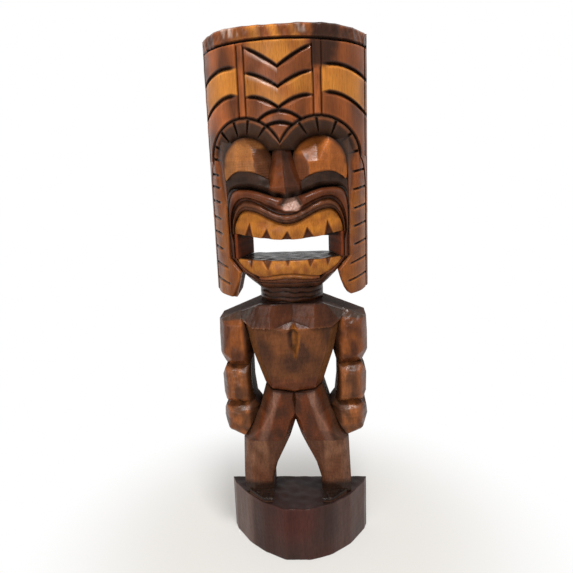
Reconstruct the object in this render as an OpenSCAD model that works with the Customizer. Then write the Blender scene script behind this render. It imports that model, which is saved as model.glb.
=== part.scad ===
// Half-log tiki figure, with each carved member kept as a separate solid.
// Millimetres. +Z is up, the figure faces -Y, and its flat sawn back is at +Y.
// The origin is on the underside, midway across the width and the depth.
// Left and right are as a person sees them who stands in front of the figure.

/* [Half-log blank] */
// Width of the head across its flat back
head_w = 152; // [136:1:182]
// Depth of the half-log from its flat back to its round front
blank_d = 60; // [52:1:72]

/* [Heights, from the floor up] */
// Height of the D-shaped base
base_h = 59; // [40:1:80]
// Height of a lower leg, from the base to the knee
shin_h = 66; // [54:1:80]
// Height of a thigh, from the knee to the hip
thigh_h = 57; // [50:1:68]
// Height of the torso, from the hip to the neck
torso_h = 84; // [76:1:100]
// Height of the ringed neck
neck_h = 15; // [10:1:24]
// Height of the jaw, from the neck to the floor of the mouth
jaw_h = 28; // [26:1:34]
// Height of the mouth opening
mouth_h = 19; // [12:1:26]
// Height of the face, from the mouth opening to the top of the brow
face_h = 106; // [102:1:128]
// Height of the carved headdress panels above the brow
panel_h = 61; // [60:1:75]
// Height of the plain rim round the top
rim_h = 13; // [6:1:22]

/* [Base and legs] */
// Width of the base across its flat back
base_w = 146; // [126:1:176]
// Distance from the middle to the outer side of a leg
stance = 55; // [52:1:60]
// Width of a lower leg at the base
ankle_w = 30; // [24:1:33]
// Depth of a lower leg at the base
leg_d = 30; // [26:1:34]
// How far a foot stands out of its leg
foot_l = 17; // [10:1:20]
// Height of a foot's instep
foot_h = 7; // [4:1:9]

/* [Torso and arms] */
// Half width of the chest where it meets the arms
chest_half = 48.5; // [46:0.5:54]
// Half width of the waist
waist_half = 27.5; // [26:0.5:30]
// Half width over the arms
arm_half = 72.5; // [70:0.5:76]
// Width of an arm across its bulges
arm_w = 30; // [27:0.5:31]
// Height of the shoulder corner under the neck line
shoulder_drop = 17; // [10:0.5:22]
// Height of the elbow crease under the neck line
elbow_drop = 63; // [58:1:68]
// Height of a forearm, from the elbow crease to the wrist crease
forearm_h = 40; // [34:1:42]
// Depth of the long pointed cut in the middle of the chest
sternum_cut = 3; // [1:0.5:6]

/* [Head] */
// Width of each side lappet
lappet_w = 20; // [16:0.5:22]
// Length of a lappet that hangs free below the jaw
lappet_drop = 21; // [12:0.5:24]
// Thickness of the slab behind the face
skull_t = 30; // [26:0.5:34]
// Plain land left between a brow arch and the edge of the head
brow_land = 7.7; // [6:0.1:9]
// Width of a brow band at its top
brow_band_w = 12; // [10:0.5:13]
// Clearance between an eye and its brow band
eye_gap = 0.5; // [0.3:0.1:1.5]
// How far an eye bulges in front of its edge
eye_bulge = 12; // [9:0.5:14]
// Half width of the neck
neck_half = 29; // [26:0.5:31]

/* [Mouth] */
// Thickness of the ring on each side of the mouth, at the front
mouth_wall = 6; // [5:0.5:8]
// How much narrower each side of the mouth gets towards the back
mouth_splay = 13; // [8:0.5:18]
// Height of one lip ridge
lip_h = 9.5; // [8.5:0.5:10]
// Width of a notch between two teeth
tooth_notch_w = 7.5; // [4:0.5:9]
// Depth of a notch between two teeth
tooth_notch_d = 4; // [2:0.5:7]

/* [Carved lines] */
// Depth of the gouged lines on the headdress
groove_d = 2.5; // [1:0.1:4]
// Width of the gouged lines on the headdress
groove_w = 3; // [1.5:0.1:4.5]
// Width of a headdress rib
rib_w = 6.5; // [4:0.5:9]
// Distance from the middle to a rib's inner side
rib_x = 29; // [25:0.5:31]
// Distance between two notches of a lappet
notch_pitch = 15.5; // [11:0.5:20]
// Height of one notch
notch_w = 1.6; // [0.8:0.1:3]

/* [Hidden] */

round_fn = 160;
over = 1;

// Levels, each one stacked on the one below it.
z_deck = base_h;
z_knee = z_deck + shin_h;
z_hip = z_knee + thigh_h;
z_neck = z_hip + torso_h;
z_jaw = z_neck + neck_h;
z_floor = z_jaw + jaw_h;
z_ceiling = z_floor + mouth_h;
z_brow = z_ceiling + face_h;
z_rim = z_brow + panel_h;
z_top = z_rim + rim_h;

// Depths, from the flat back to the round front. The face is carved on the slab's seat.
back_y = blank_d / 2;
front_y = -blank_d / 2;
seat_y = back_y - skull_t;

// The round front is an arc through both back corners and the front line.
function arc_radius(half, depth) = (half * half + depth * depth) / (2 * depth);
log_r = arc_radius(head_w / 2, blank_d);
log_axis_y = front_y + log_r;
base_r = arc_radius(base_w / 2, blank_d);
base_axis_y = front_y + base_r;
face_half = head_w / 2 - lappet_w;

function mid(a, b, t = 0.5) = a + (b - a) * t;
function flip(p) = [-p.x, p.y];
function reversed(points) = [for (i = [len(points) - 1 : -1 : 0]) points[i]];
// An outline of the right half, from the bottom middle up, closed with its own reflection.
function both_halves(points) = concat(points, [for (p = reversed(points)) flip(p)]);

// Extrudes a front-view outline from y0 back to y1.
module from_front(y0 = front_y - over, y1 = back_y) {
    translate([0, y1, 0]) rotate([90, 0, 0]) linear_extrude(y1 - y0) children();
}

// Extrudes a side-view outline, drawn as [y, z], over the width.
module from_side(x0, x1) {
    translate([x0, 0, 0]) rotate([90, 0, 90]) linear_extrude(x1 - x0) children();
}

// Extrudes a plan outline, drawn as [x, y], between two heights.
module from_top(z0, z1) {
    translate([0, 0, z0]) linear_extrude(z1 - z0) children();
}

module right_to_left() {
    mirror([1, 0, 0]) children();
}

// The half-log between two heights, with its round front cut back by inset.
module log_run(z0, z1, inset = 0) {
    from_top(z0, z1) intersection() {
        translate([0, log_axis_y]) circle(r = log_r - inset, $fn = round_fn);
        translate([-head_w / 2, front_y - over]) square([head_w, blank_d + over]);
    }
}

// The outside of the half-log down to inset, where a gouge may cut.
module log_skin(z0, z1, inset) {
    difference() {
        from_top(z0, z1) translate([-head_w, front_y - over]) square([2 * head_w, blank_d + over]);
        log_run(z0 - over, z1 + over, inset);
    }
}

// A pad on the slab behind the face. Its front follows the half-log, inset behind it.
module face_pad(z0, z1, inset) {
    intersection() {
        log_run(z0, z1, inset);
        from_front(front_y - over, seat_y) children();
    }
}

// ---- Base and legs ----

module base() {
    color([0.24, 0.13, 0.12])
    from_top(0, z_deck) intersection() {
        translate([0, base_axis_y]) circle(r = base_r, $fn = round_fn);
        translate([-base_w / 2, front_y - over]) square([base_w, blank_d + over]);
    }
}

// Front of the leg where it stands on the base, and of the knee.
leg_front_y = back_y - leg_d;
knee_reach = 18;
knee_front_y = leg_front_y - knee_reach;
calf_in = 5;
knee_in = [6, z_knee];
knee_out = [stance - 2, z_knee];
ankle_in = stance - ankle_w;

module foot() {
    toe_y = leg_front_y - foot_l;
    toe_round = 3;
    color([0.2, 0.12, 0.09])
    intersection() {
        from_front(toe_y, leg_front_y)
            translate([ankle_in, z_deck]) square([ankle_w - calf_in, foot_h]);
        from_side(0, stance) polygon([
            [leg_front_y, z_deck], [leg_front_y, z_deck + foot_h],
            [toe_y + toe_round, z_deck + 0.7 * foot_h], [toe_y, z_deck + 0.3 * foot_h], [toe_y, z_deck]
        ]);
    }
}

module shin() {
    ankle_z = z_deck + 18;
    calf_z = mid(z_deck, z_knee, 0.55);
    shin_top_z = z_knee - 16;
    bevel = 14;
    color([0.36, 0.2, 0.11])
    intersection() {
        from_front() polygon([
            knee_in, [ankle_in - calf_in, calf_z], [ankle_in, ankle_z], [ankle_in, z_deck],
            [stance, z_deck], [stance, ankle_z], knee_out
        ]);
        from_side(0, stance + over) polygon([
            [back_y, z_deck], [leg_front_y, z_deck], [leg_front_y, z_deck + foot_h],
            [knee_front_y + 5, shin_top_z], [knee_front_y, z_knee], [back_y, z_knee]
        ]);
        from_top(z_deck, z_knee) polygon([
            [0, back_y], [0, front_y], [stance - bevel, front_y], [stance, leg_front_y + bevel / 2],
            [stance, back_y]
        ]);
    }
}

// The thighs hang from a shallow V under the torso and meet in the middle down to the crotch.
v_drop = 7;
v_low = [0, z_hip - v_drop];
v_side = [20, z_hip - v_drop / 2];
waist = [waist_half, z_hip + 1];
crotch = [0, z_hip - 39];
thigh_touch = [waist_half + 8, z_hip - 26];
hip_over = 2;

module thigh() {
    bevel_out = 20;
    bevel_in = 12;
    color([0.33, 0.16, 0.09])
    intersection() {
        from_front() polygon([v_low, v_side, waist, thigh_touch, knee_out, knee_in, crotch]);
        from_side(-over, stance + over) polygon([
            [back_y, z_knee], [knee_front_y, z_knee], [knee_front_y - 2, z_knee + 6],
            [leg_front_y - 14, z_hip - 18], [leg_front_y - 6, z_hip + hip_over], [back_y, z_hip + hip_over]
        ]);
        from_top(z_knee, z_hip + hip_over) polygon([
            [0, back_y], [0, front_y + bevel_in], [bevel_in, front_y], [stance - bevel_out, front_y],
            [stance, leg_front_y + 4], [stance, back_y]
        ]);
    }
}

// ---- Torso, arms and neck ----

// Corners of the upper body on the right of the middle line.
neck_corner = [neck_half + 1, z_neck];
shoulder = [arm_half - 1, z_neck - shoulder_drop];
chest_top = mid(neck_corner, shoulder, (chest_half - neck_corner.x) / (shoulder.x - neck_corner.x));
elbow_z = z_neck - elbow_drop;
wrist_z = elbow_z - forearm_h;
armpit = [chest_half - 10, elbow_z + 13];
arm_in = arm_half - arm_w;
chest_y = front_y + 9;
hip_y = front_y + 18;
collar_z = z_neck - 19;

// The long pointed cut down the middle of the chest.
module sternum_outline() {
    top_z = collar_z;
    wide = [6.5, collar_z - 12];
    tip = [1.5, collar_z - 36];
    polygon([[0, top_z], wide, tip, flip(tip), flip(wide)]);
}

module torso() {
    belly_z = z_hip + 6;
    flat_half = 26;
    color([0.34, 0.18, 0.1])
    difference() {
        intersection() {
            from_front() polygon(both_halves([v_low, v_side, waist, armpit, chest_top, neck_corner]));
            from_side(-head_w, head_w) polygon([
                [back_y, v_low.y], [hip_y, v_low.y], [hip_y - over, belly_z],
                [chest_y, collar_z - 7], [chest_y + over, collar_z], [hip_y, z_neck], [back_y, z_neck]
            ]);
            from_top(v_low.y, z_neck) polygon([
                [-chest_half, back_y], [-chest_half, hip_y], [-flat_half, chest_y - over],
                [flat_half, chest_y - over], [chest_half, hip_y], [chest_half, back_y]
            ]);
        }
        from_front(front_y, chest_y + sternum_cut) sternum_outline();
    }
}

// One bulge of an arm: a front outline that is rounded off above, below and outside.
module arm_bulge(z0, z1) {
    arm_y = front_y + 19;
    crease = 6;
    reach = min(9, (z1 - z0) / 3);
    intersection() {
        from_front() children();
        from_side(0, head_w) polygon([
            [back_y, z0], [arm_y + crease, z0], [arm_y, z0 + reach],
            [arm_y, z1 - reach], [arm_y + crease, z1], [back_y, z1]
        ]);
        from_top(z0, z1) polygon([
            [0, back_y], [0, arm_y + 2], [arm_in + 6, arm_y], [arm_in + 14, arm_y + over],
            [arm_half - 7, arm_y + 13], [arm_half, arm_y + 26], [arm_half, back_y]
        ]);
    }
}

module upper_arm() {
    color([0.42, 0.22, 0.11])
    arm_bulge(elbow_z, z_neck) polygon([
        chest_top, shoulder, [arm_half, shoulder.y - 16], [arm_half, elbow_z + 12],
        [arm_half - 6, elbow_z], [arm_in, elbow_z], armpit
    ]);
}

module forearm() {
    color([0.38, 0.2, 0.11])
    arm_bulge(wrist_z, elbow_z) polygon([
        [arm_in, elbow_z], [arm_half - 6, elbow_z], [arm_half - 1, elbow_z - 12],
        [arm_half - 1.5, wrist_z + 9], [arm_half - 7, wrist_z], [arm_in - 2, wrist_z],
        [arm_in, wrist_z + 18]
    ]);
}

// The hand rests on the thigh along the thigh's own outline.
module hand() {
    low_z = z_knee + 2;
    function on_thigh(z) = mid(thigh_touch, knee_out, (thigh_touch.y - z) / (thigh_touch.y - z_knee));
    color([0.4, 0.22, 0.12])
    arm_bulge(low_z, wrist_z) polygon([
        thigh_touch, [arm_in - 2, wrist_z], [arm_half - 7, wrist_z], [arm_half - 1, wrist_z - 8],
        [arm_half, wrist_z - 17], [arm_half - 7, low_z + 5], on_thigh(low_z)
    ]);
}

// A turned stack of three rings, cut off flat at the back.
module neck() {
    neck_set = 18;
    neck_r = arc_radius(neck_half, blank_d - neck_set);
    ring_h = neck_h / 3;
    groove = 1.2;
    color([0.25, 0.13, 0.08])
    intersection() {
        translate([0, front_y + neck_set + neck_r, z_neck]) rotate_extrude($fn = round_fn) polygon(concat(
            [[0, 0]],
            [for (i = [0 : 2]) for (p = [[neck_r - groove, i * ring_h], [neck_r, (i + 0.5) * ring_h]]) p],
            [[neck_r - groove, neck_h], [0, neck_h]]
        ));
        from_top(z_neck, z_jaw) translate([-head_w / 2, front_y]) square([head_w, blank_d]);
    }
}

// ---- Jaw, cheeks and mouth ----

mouth_half = face_half - mouth_wall;
jaw_low = [neck_half + 7, z_jaw + 7];
jaw_corner = [face_half - 6, z_floor - 6];
jaw_side = [face_half, z_floor];
lappet_root = [jaw_corner.x - 5.5, jaw_corner.y - 6];

module jaw() {
    color([0.33, 0.17, 0.09])
    from_front(seat_y, back_y) polygon(both_halves([
        [neck_half, z_jaw], jaw_low, lappet_root, jaw_corner, jaw_side
    ]));
}

// The splayed side wall of the mouth opening.
module cheek() {
    wall_y = seat_y - 14;
    color([0.3, 0.15, 0.09])
    from_top(z_floor, z_ceiling) polygon([
        [mouth_half - mouth_splay, back_y], [face_half, back_y], [face_half, seat_y],
        [mouth_half, seat_y], [mouth_half, wall_y]
    ]);
}

// The mouth's rim curves. Level 0 is the outer edge of the outer lip, 1 the line between
// the lips, and 2 the edge of the gum. Each dips in the middle and peaks on both sides.
lip_land = 0.5;
lip_peak_x = 37;
lip_dip = [8, 13, 12];
lip_bend = [4.5, 2, 2];
lip_foot_z = z_ceiling + 5;
function lip_x(level) = face_half - lip_land - (mouth_wall - lip_land) / 2 * level;
function lip_peak_z(level) = z_ceiling + 45 - lip_h * level;
function lip_shoulder(t, bend) = 1 - pow(max(0, 1 - pow(t, bend)), 1 / bend);
function lip_z(level, x) =
    let (ax = abs(x), top = lip_peak_z(level))
    ax <= lip_peak_x
        ? top - lip_dip[level] * (1 + cos(180 * ax / lip_peak_x)) / 2
        : top - (top - lip_foot_z)
            * lip_shoulder((ax - lip_peak_x) / (lip_x(level) - lip_peak_x), lip_bend[level]);
function lip_curve(level, n = 24) =
    [for (i = [-n : n]) let (x = lip_x(level) * sin(90 * i / n)) [x, lip_z(level, x)]];

// The outer lip runs down on both sides of the mouth to its floor.
module outer_lip() {
    color([0.28, 0.14, 0.1])
    face_pad(z_floor, z_brow, 0.8) polygon(concat(
        [[-lip_x(0), z_floor]], lip_curve(0),
        [[lip_x(0), z_floor], [mouth_half, z_floor], [mouth_half, lip_foot_z]],
        reversed(lip_curve(1)), [[-mouth_half, lip_foot_z], [-mouth_half, z_floor]]
    ));
}

module inner_lip() {
    color([0.3, 0.15, 0.1])
    face_pad(lip_foot_z, z_brow, 2) polygon(concat(lip_curve(1), reversed(lip_curve(2))));
}

// Places across the gums where two teeth part, each a slot that ends in a point.
tooth_x = [0, 0.38, 0.73];
slot_h = 8;

module tooth_notches(z_edge, rise, up) {
    for (i = [0 : 2]) for (s = i == 0 ? [1] : [-1, 1])
        translate([s * tooth_x[i] * mouth_half, z_edge]) polygon([
            [-tooth_notch_w / 2, -up * slot_h], [tooth_notch_w / 2, -up * slot_h],
            [tooth_notch_w / 2, 0], [0, up * rise * (1 + i / 2)], [-tooth_notch_w / 2, 0]
        ]);
}

// A gum pad (first child) with its notches (second child) cut tooth_notch_d deep.
module gum(z0, z1, inset) {
    difference() {
        face_pad(z0, z1, inset) children(0);
        difference() {
            face_pad(z0 - over, z1 + over, 0) children(1);
            log_run(z0 - 2 * over, z1 + 2 * over, inset + tooth_notch_d);
        }
    }
}

// Even steps across a gum, from one side to the other.
function across(half, n = 10) = [for (i = [-n : n]) half * i / n];
upper_edge_rise = 6;
function upper_edge_z(x) = min(lip_foot_z, z_ceiling + upper_edge_rise * pow(x / mouth_half, 2));

module upper_teeth() {
    color([0.72, 0.44, 0.18])
    gum(z_ceiling, z_brow, 4) {
        polygon(concat(lip_curve(2), reversed([for (x = across(mouth_half)) [x, upper_edge_z(x)]])));
        tooth_notches(z_ceiling + 3, 6, 1);
    }
}

// The bowl that holds the lower teeth, inside the ring of the mouth.
ring_t = 4;
bowl_half = neck_half - 1;
bowl_corner = [jaw_corner.x - over - ring_t, jaw_corner.y];
bowl_drop = 14;
lower_lip_t = 4.5;
function bowl_z(x) = z_floor - bowl_drop + 1.5 * cos(180 * abs(x) / bowl_half);
function lip_under_z(x) = bowl_z(x) - lower_lip_t * (1 - 0.3 * pow(x / bowl_half, 2));
bowl_line = [for (x = across(bowl_half)) [x, bowl_z(x)]];
under_line = [for (x = across(bowl_half)) [x, lip_under_z(x)]];

module lower_teeth() {
    color([0.66, 0.4, 0.18])
    gum(z_jaw, z_floor, 6) {
        polygon(concat(
            bowl_line, [bowl_corner, [mouth_half, z_floor], [-mouth_half, z_floor], flip(bowl_corner)]
        ));
        tooth_notches(z_floor, 4, -1);
    }
}

module lower_lip() {
    color([0.45, 0.24, 0.12])
    face_pad(z_jaw, z_floor, 4) polygon(concat(under_line, reversed(bowl_line)));
}

// The lower half of the ring round the mouth, and the chin under the lip.
module chin() {
    right_side = [
        [neck_half, z_jaw], jaw_low, [bowl_corner.x + ring_t, bowl_corner.y],
        [lip_x(0), z_floor], [mouth_half, z_floor], bowl_corner
    ];
    color([0.27, 0.14, 0.09])
    intersection() {
        face_pad(z_jaw, z_floor, 5) polygon(concat(
            right_side, reversed(under_line), [for (p = reversed(right_side)) flip(p)]
        ));
        from_side(-head_w, head_w) polygon([
            [seat_y, z_jaw], [hip_y, z_jaw], [front_y + 4, z_jaw + 12], [front_y, z_floor], [seat_y, z_floor]
        ]);
    }
}

// ---- Face ----

// Two arches that meet in a cusp over the nose.
brow_overlap = 2.3;
brow_side = head_w / 2 - brow_land;
brow_r = (brow_side + brow_overlap) / 2;
brow_x = brow_r - brow_overlap;
brow_z = z_brow - brow_r;
band_end_z = brow_z - 10;
nose_top = brow_z + 7.5;
eye_x = brow_x - 1;
eye_z = brow_z - 3.7;
socket_r = brow_r - brow_band_w;

module brow_disc() {
    translate([brow_x, brow_z]) circle(r = brow_r, $fn = round_fn);
}

module socket_disc(clearance = 0) {
    translate([eye_x, eye_z]) circle(r = socket_r - clearance, $fn = round_fn);
}

// Everything under the headdress's heart-shaped lower edge.
module under_brow() {
    for (s = [0, 1]) mirror([s, 0]) {
        brow_disc();
        square([head_w, brow_z]);
    }
}

module skull() {
    color([0.2, 0.11, 0.08])
    from_front(seat_y, back_y) intersection() {
        translate([-face_half, z_ceiling]) square([2 * face_half, face_h + over]);
        under_brow();
    }
}

// The round cut that ends an eye below, and the stretch of lip under it.
lid_center = [eye_x + 7, eye_z - 44];
lid_r = 38;
lid_line = [for (p = lip_curve(0)) if (p.x > eye_x - socket_r + 3 && p.x < face_half - 3) p];
lid_in = lid_line[0];
lid_out = lid_line[len(lid_line) - 1];

module lid_disc() {
    translate(lid_center) circle(r = lid_r, $fn = round_fn);
}

module eye() {
    rim_y = seat_y - 12;
    ball_r = arc_radius(socket_r, eye_bulge);
    color([0.7, 0.42, 0.18])
    intersection() {
        translate([eye_x, rim_y - eye_bulge + ball_r, eye_z]) sphere(r = ball_r, $fn = round_fn);
        log_run(z_ceiling, z_brow, 1.5);
        from_front(front_y, seat_y) difference() {
            socket_disc(eye_gap);
            lid_disc();
        }
    }
}

// The dark hollow cut that runs back under the eye, down to the lip.
module lower_lid() {
    top_z = lid_center.y + lid_r;
    step_z = lip_peak_z(0) - 8;
    hollow = 9;
    color([0.15, 0.1, 0.09])
    intersection() {
        from_front(front_y, seat_y) intersection() {
            lid_disc();
            polygon(concat(lid_line, [[lid_out.x, z_brow], [lid_in.x, z_brow]]));
        }
        from_side(0, head_w) polygon([
            [seat_y, lid_out.y - over], [seat_y - hollow, lid_out.y - over], [seat_y - hollow, step_z],
            [seat_y - 2 * hollow, top_z], [seat_y, top_z]
        ]);
        log_run(lid_out.y - over, top_z + over, 3);
    }
}

module nose() {
    tip_z = lip_z(0, 0);
    bridge_half = 12;
    wing = [18, eye_z - 14];
    nostril = [15, eye_z - 22];
    flat_half = 5;
    color([0.36, 0.17, 0.11])
    intersection() {
        from_front(front_y, seat_y) difference() {
            polygon([
                [0, tip_z], nostril, wing, [bridge_half, nose_top],
                [-bridge_half, nose_top], flip(wing), flip(nostril)
            ]);
            for (s = [0, 1]) mirror([s, 0]) {
                socket_disc();
                difference() {
                    lid_disc();
                    square([lid_in.x, z_top]);
                }
            }
            polygon(concat(lip_curve(0), [[lip_x(0), z_ceiling], [-lip_x(0), z_ceiling]]));
        }
        from_side(-head_w, head_w) polygon([
            [seat_y, tip_z], [front_y + 6, tip_z], [front_y, tip_z + 7],
            [front_y + 14, nose_top], [seat_y, nose_top]
        ]);
        from_top(tip_z - over, nose_top + over) polygon([
            [-wing.x, seat_y], [-wing.x, front_y + 13], [-flat_half, front_y],
            [flat_half, front_y], [wing.x, front_y + 13], [wing.x, seat_y]
        ]);
    }
}

// The angles at which a brow arch is notched.
brow_notch_angles = [120, 86, 50, 13];

module brow_band() {
    inset = 1;
    funnel_h = 19;
    notch_reach = [socket_r - 6, brow_r - 2];
    color([0.17, 0.1, 0.08])
    difference() {
        intersection() {
            log_run(band_end_z, z_brow + over, inset);
            from_front() difference() {
                intersection() {
                    union() {
                        brow_disc();
                        translate([brow_x, band_end_z]) square([brow_r, brow_z - band_end_z]);
                    }
                    translate([0, band_end_z]) square([head_w, head_w]);
                    under_brow();
                }
                socket_disc();
                square([eye_x, nose_top]);
            }
        }
        // The slab behind the face fills this.
        translate([-over, seat_y, 0]) cube([face_half + over, blank_d, z_top]);
        // The band slopes in from its outer edge to the eye.
        translate([brow_x, front_y - over + funnel_h, brow_z]) rotate([90, 0, 0])
            cylinder(r1 = socket_r, r2 = socket_r + 0.8 * funnel_h, h = funnel_h, $fn = round_fn);
        for (a = brow_notch_angles)
            difference() {
                from_front() translate([brow_x, brow_z]) rotate(a)
                    translate([notch_reach[0], -notch_w / 2])
                        square([notch_reach[1] - notch_reach[0], notch_w]);
                log_run(band_end_z - over, z_brow + 2 * over, inset + groove_d);
                translate([-over, front_y + 10, 0]) cube([brow_x + 18, blank_d, z_top]);
            }
    }
}

module lappet() {
    tip_z = z_jaw + 11 - lappet_drop;
    tip_in = 4;
    margin = 8;
    notch_n = floor((band_end_z - tip_z - margin) / notch_pitch);
    notch_fall = 9;
    notch_out = lappet_w - 3;
    color([0.5, 0.27, 0.12])
    difference() {
        intersection() {
            log_run(tip_z, brow_z);
            from_front() polygon([
                jaw_side, [face_half, band_end_z], [brow_side, band_end_z], [brow_side, brow_z],
                [head_w, brow_z], [head_w, tip_z], [face_half - tip_in, tip_z], lappet_root, jaw_corner
            ]);
        }
        for (i = [1 : notch_n]) difference() {
            from_front() translate([face_half, tip_z + i * notch_pitch]) polygon([
                [-lappet_w, -notch_fall], [notch_out, 0],
                [notch_out, notch_w], [-lappet_w, notch_w - notch_fall]
            ]);
            log_run(tip_z - over, band_end_z + over, groove_d);
        }
    }
}

// ---- Headdress ----

// A slice of the headdress between two upright planes, down to the brow.
module stave(x0, x1) {
    intersection() {
        log_run(brow_z, z_rim);
        from_front() difference() {
            translate([x0, brow_z]) square([x1 - x0, z_rim - brow_z]);
            under_brow();
        }
    }
}

// A gouge stroke through three points: thin at both ends and w wide in the middle.
stroke_tip = 0.15;
function bezier(p0, p1, p2, t) = (1 - t) * (1 - t) * p0 + 2 * t * (1 - t) * p1 + t * t * p2;
function half_width(w, t) = [0, w / 2 * sin(180 * t) + stroke_tip];
function stroke(p0, p1, p2, w = groove_w, n = 8) = concat(
    [for (i = [0 : n]) bezier(p0, p1, p2, i / n) + half_width(w, i / n)],
    [for (i = [n : -1 : 0]) bezier(p0, p1, p2, i / n) - half_width(w, i / n)]
);

// Cuts front-view strokes into the children, groove_d deep.
module gouge(strokes) {
    difference() {
        children();
        intersection() {
            log_skin(brow_z, z_rim + over, groove_d);
            from_front() for (s = strokes) polygon(s);
        }
    }
}

// Three chevrons over two arches. Each row gives how far under the rim a stroke starts,
// bends and ends.
module center_panel() {
    chevron_rows = [[4, 12.5, 21.5], [25, 28, 37.5], [45, 44.5, 54]];
    arch_rows = [[20.5, 64.5, 49], [12, 68.5, 62.5]];
    tip_x = rib_x - over;
    bend_x = 12;
    chevrons = [for (r = chevron_rows) for (s = [-1, 1])
        stroke([s * tip_x, z_rim - r[0]], [s * bend_x, z_rim - r[1]], [0, z_rim - r[2]])];
    arches = [for (r = arch_rows)
        stroke([-r[0], z_rim - r[1]], [0, z_rim - r[2]], [r[0], z_rim - r[1]])];
    color([0.55, 0.31, 0.14])
    gouge(concat(chevrons, arches)) stave(-rib_x, rib_x);
}

module rib() {
    color([0.45, 0.23, 0.1])
    difference() {
        stave(rib_x, rib_x + rib_w);
        for (x = [rib_x, rib_x + rib_w]) intersection() {
            log_skin(brow_z, z_rim + over, groove_d);
            from_front() translate([x - over, 0]) square([2 * over, z_rim - 4]);
        }
    }
}

module panel() {
    arc_rows = [[19.5, 18, 27], [42, 41, 57]];
    x0 = rib_x + rib_w;
    x1 = head_w / 2 - 2;
    arcs = [for (r = arc_rows)
        stroke([x0 + over, z_rim - r[0]], [mid(x0, x1, 0.6), z_rim - r[1]], [x1, z_rim - r[2]])];
    color([0.55, 0.31, 0.14])
    gouge(arcs) stave(x0, head_w / 2);
}

module crown_rim() {
    color([0.3, 0.16, 0.11])
    difference() {
        log_run(z_rim, z_top);
        log_skin(z_rim - over, z_rim + notch_w, groove_d);
    }
}

base();
right_to_left() foot();  // left_foot
foot();  // right_foot
right_to_left() shin();  // left_shin
shin();  // right_shin
right_to_left() thigh();  // left_thigh
thigh();  // right_thigh
torso();
right_to_left() upper_arm();  // left_upper_arm
upper_arm();  // right_upper_arm
right_to_left() forearm();  // left_forearm
forearm();  // right_forearm
right_to_left() hand();  // left_hand
hand();  // right_hand
neck();
jaw();
chin();
lower_lip();
lower_teeth();
right_to_left() cheek();  // left_cheek
cheek();  // right_cheek
upper_teeth();
inner_lip();
outer_lip();
skull();
nose();
right_to_left() eye();  // left_eye
eye();  // right_eye
right_to_left() lower_lid();  // left_lower_lid
lower_lid();  // right_lower_lid
right_to_left() brow_band();  // left_brow_band
brow_band();  // right_brow_band
right_to_left() lappet();  // left_lappet
lappet();  // right_lappet
right_to_left() panel();  // left_panel
right_to_left() rib();  // left_rib
center_panel();
rib();  // right_rib
panel();  // right_panel
crown_rim();
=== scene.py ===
import math
import bpy
import numpy as np
from mathutils import Matrix, Vector


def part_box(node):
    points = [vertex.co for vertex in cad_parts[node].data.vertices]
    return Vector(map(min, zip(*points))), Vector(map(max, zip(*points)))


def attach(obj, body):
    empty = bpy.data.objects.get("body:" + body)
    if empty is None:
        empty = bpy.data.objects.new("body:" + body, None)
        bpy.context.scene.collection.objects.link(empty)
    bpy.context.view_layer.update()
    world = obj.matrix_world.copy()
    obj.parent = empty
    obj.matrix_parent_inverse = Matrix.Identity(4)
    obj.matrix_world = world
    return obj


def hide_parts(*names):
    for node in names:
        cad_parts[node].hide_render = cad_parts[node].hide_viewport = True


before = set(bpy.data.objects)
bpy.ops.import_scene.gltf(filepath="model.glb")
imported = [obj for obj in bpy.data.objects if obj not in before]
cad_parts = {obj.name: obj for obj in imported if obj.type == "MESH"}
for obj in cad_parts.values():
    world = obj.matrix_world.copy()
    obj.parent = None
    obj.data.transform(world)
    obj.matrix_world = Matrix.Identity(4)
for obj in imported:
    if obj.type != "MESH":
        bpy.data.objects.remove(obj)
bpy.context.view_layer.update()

# ---- Crown rim ----
# The uncut top of the half-log, left as a plain band above the carved headdress. It is
# hardwood, stained red-brown under varnish, with its upper edge chopped by hand. One deep
# gouge line parts it from the carving below.
MM = 0.001
HEAD_PITCH = 0.55
TAU = math.tau


def corners(node):
    """The lowest and highest corner of a node's box, in millimetres."""
    lo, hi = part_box(node)
    return lo / MM, hi / MM


def steps(length, pitch=HEAD_PITCH):
    """Even steps from 0 to 1 along a length, a pitch apart."""
    return np.linspace(0, 1, max(3, int(length / pitch) + 1))


def ease(d, run=1):
    """A smooth rise from 0, where d is 0 or less, to 1 where d is the run."""
    t = np.clip(d / run, 0, 1)
    return t * t * (3 - 2 * t)


def line(*points):
    """A curve through points, walked by its length from 0 at the first to 1 at the last."""
    p = np.array(points, float)
    walked = np.r_[0, np.cumsum(np.hypot(*np.diff(p, axis=0).T))]
    return lambda t: np.stack([np.interp(t * walked[-1], walked, p[:, k]) for k in (0, 1)], -1)


def graph(height, x0, x1):
    """The curve that a height draws over x, from x0 to x1."""
    def at(t):
        x = x0 + (x1 - x0) * t
        return np.stack([x, height(x) + 0 * x], -1)
    return at


def patch(bottom, top, left, right, u, v):
    """Fills four curves that meet at their ends with rows of points, as x and z."""
    a, b = u[None, :, None], v[:, None, None]
    ends = np.array([0.0, 1.0])
    (p00, p10), (p01, p11) = bottom(ends), top(ends)
    points = (1 - b) * bottom(u)[None] + b * top(u)[None]
    points = points + (1 - a) * left(v)[:, None] + a * right(v)[:, None]
    points = points - (1 - b) * ((1 - a) * p00 + a * p10) - b * ((1 - a) * p01 + a * p11)
    return points[..., 0], points[..., 1]


def between(bottom, top, u, v):
    """Fills the room between two curves, with straight sides from end to end."""
    ends = np.array([0.0, 1.0])
    (p00, p10), (p01, p11) = bottom(ends), top(ends)
    return patch(bottom, top, line(p00, p01), line(p10, p11), u, v)


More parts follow.
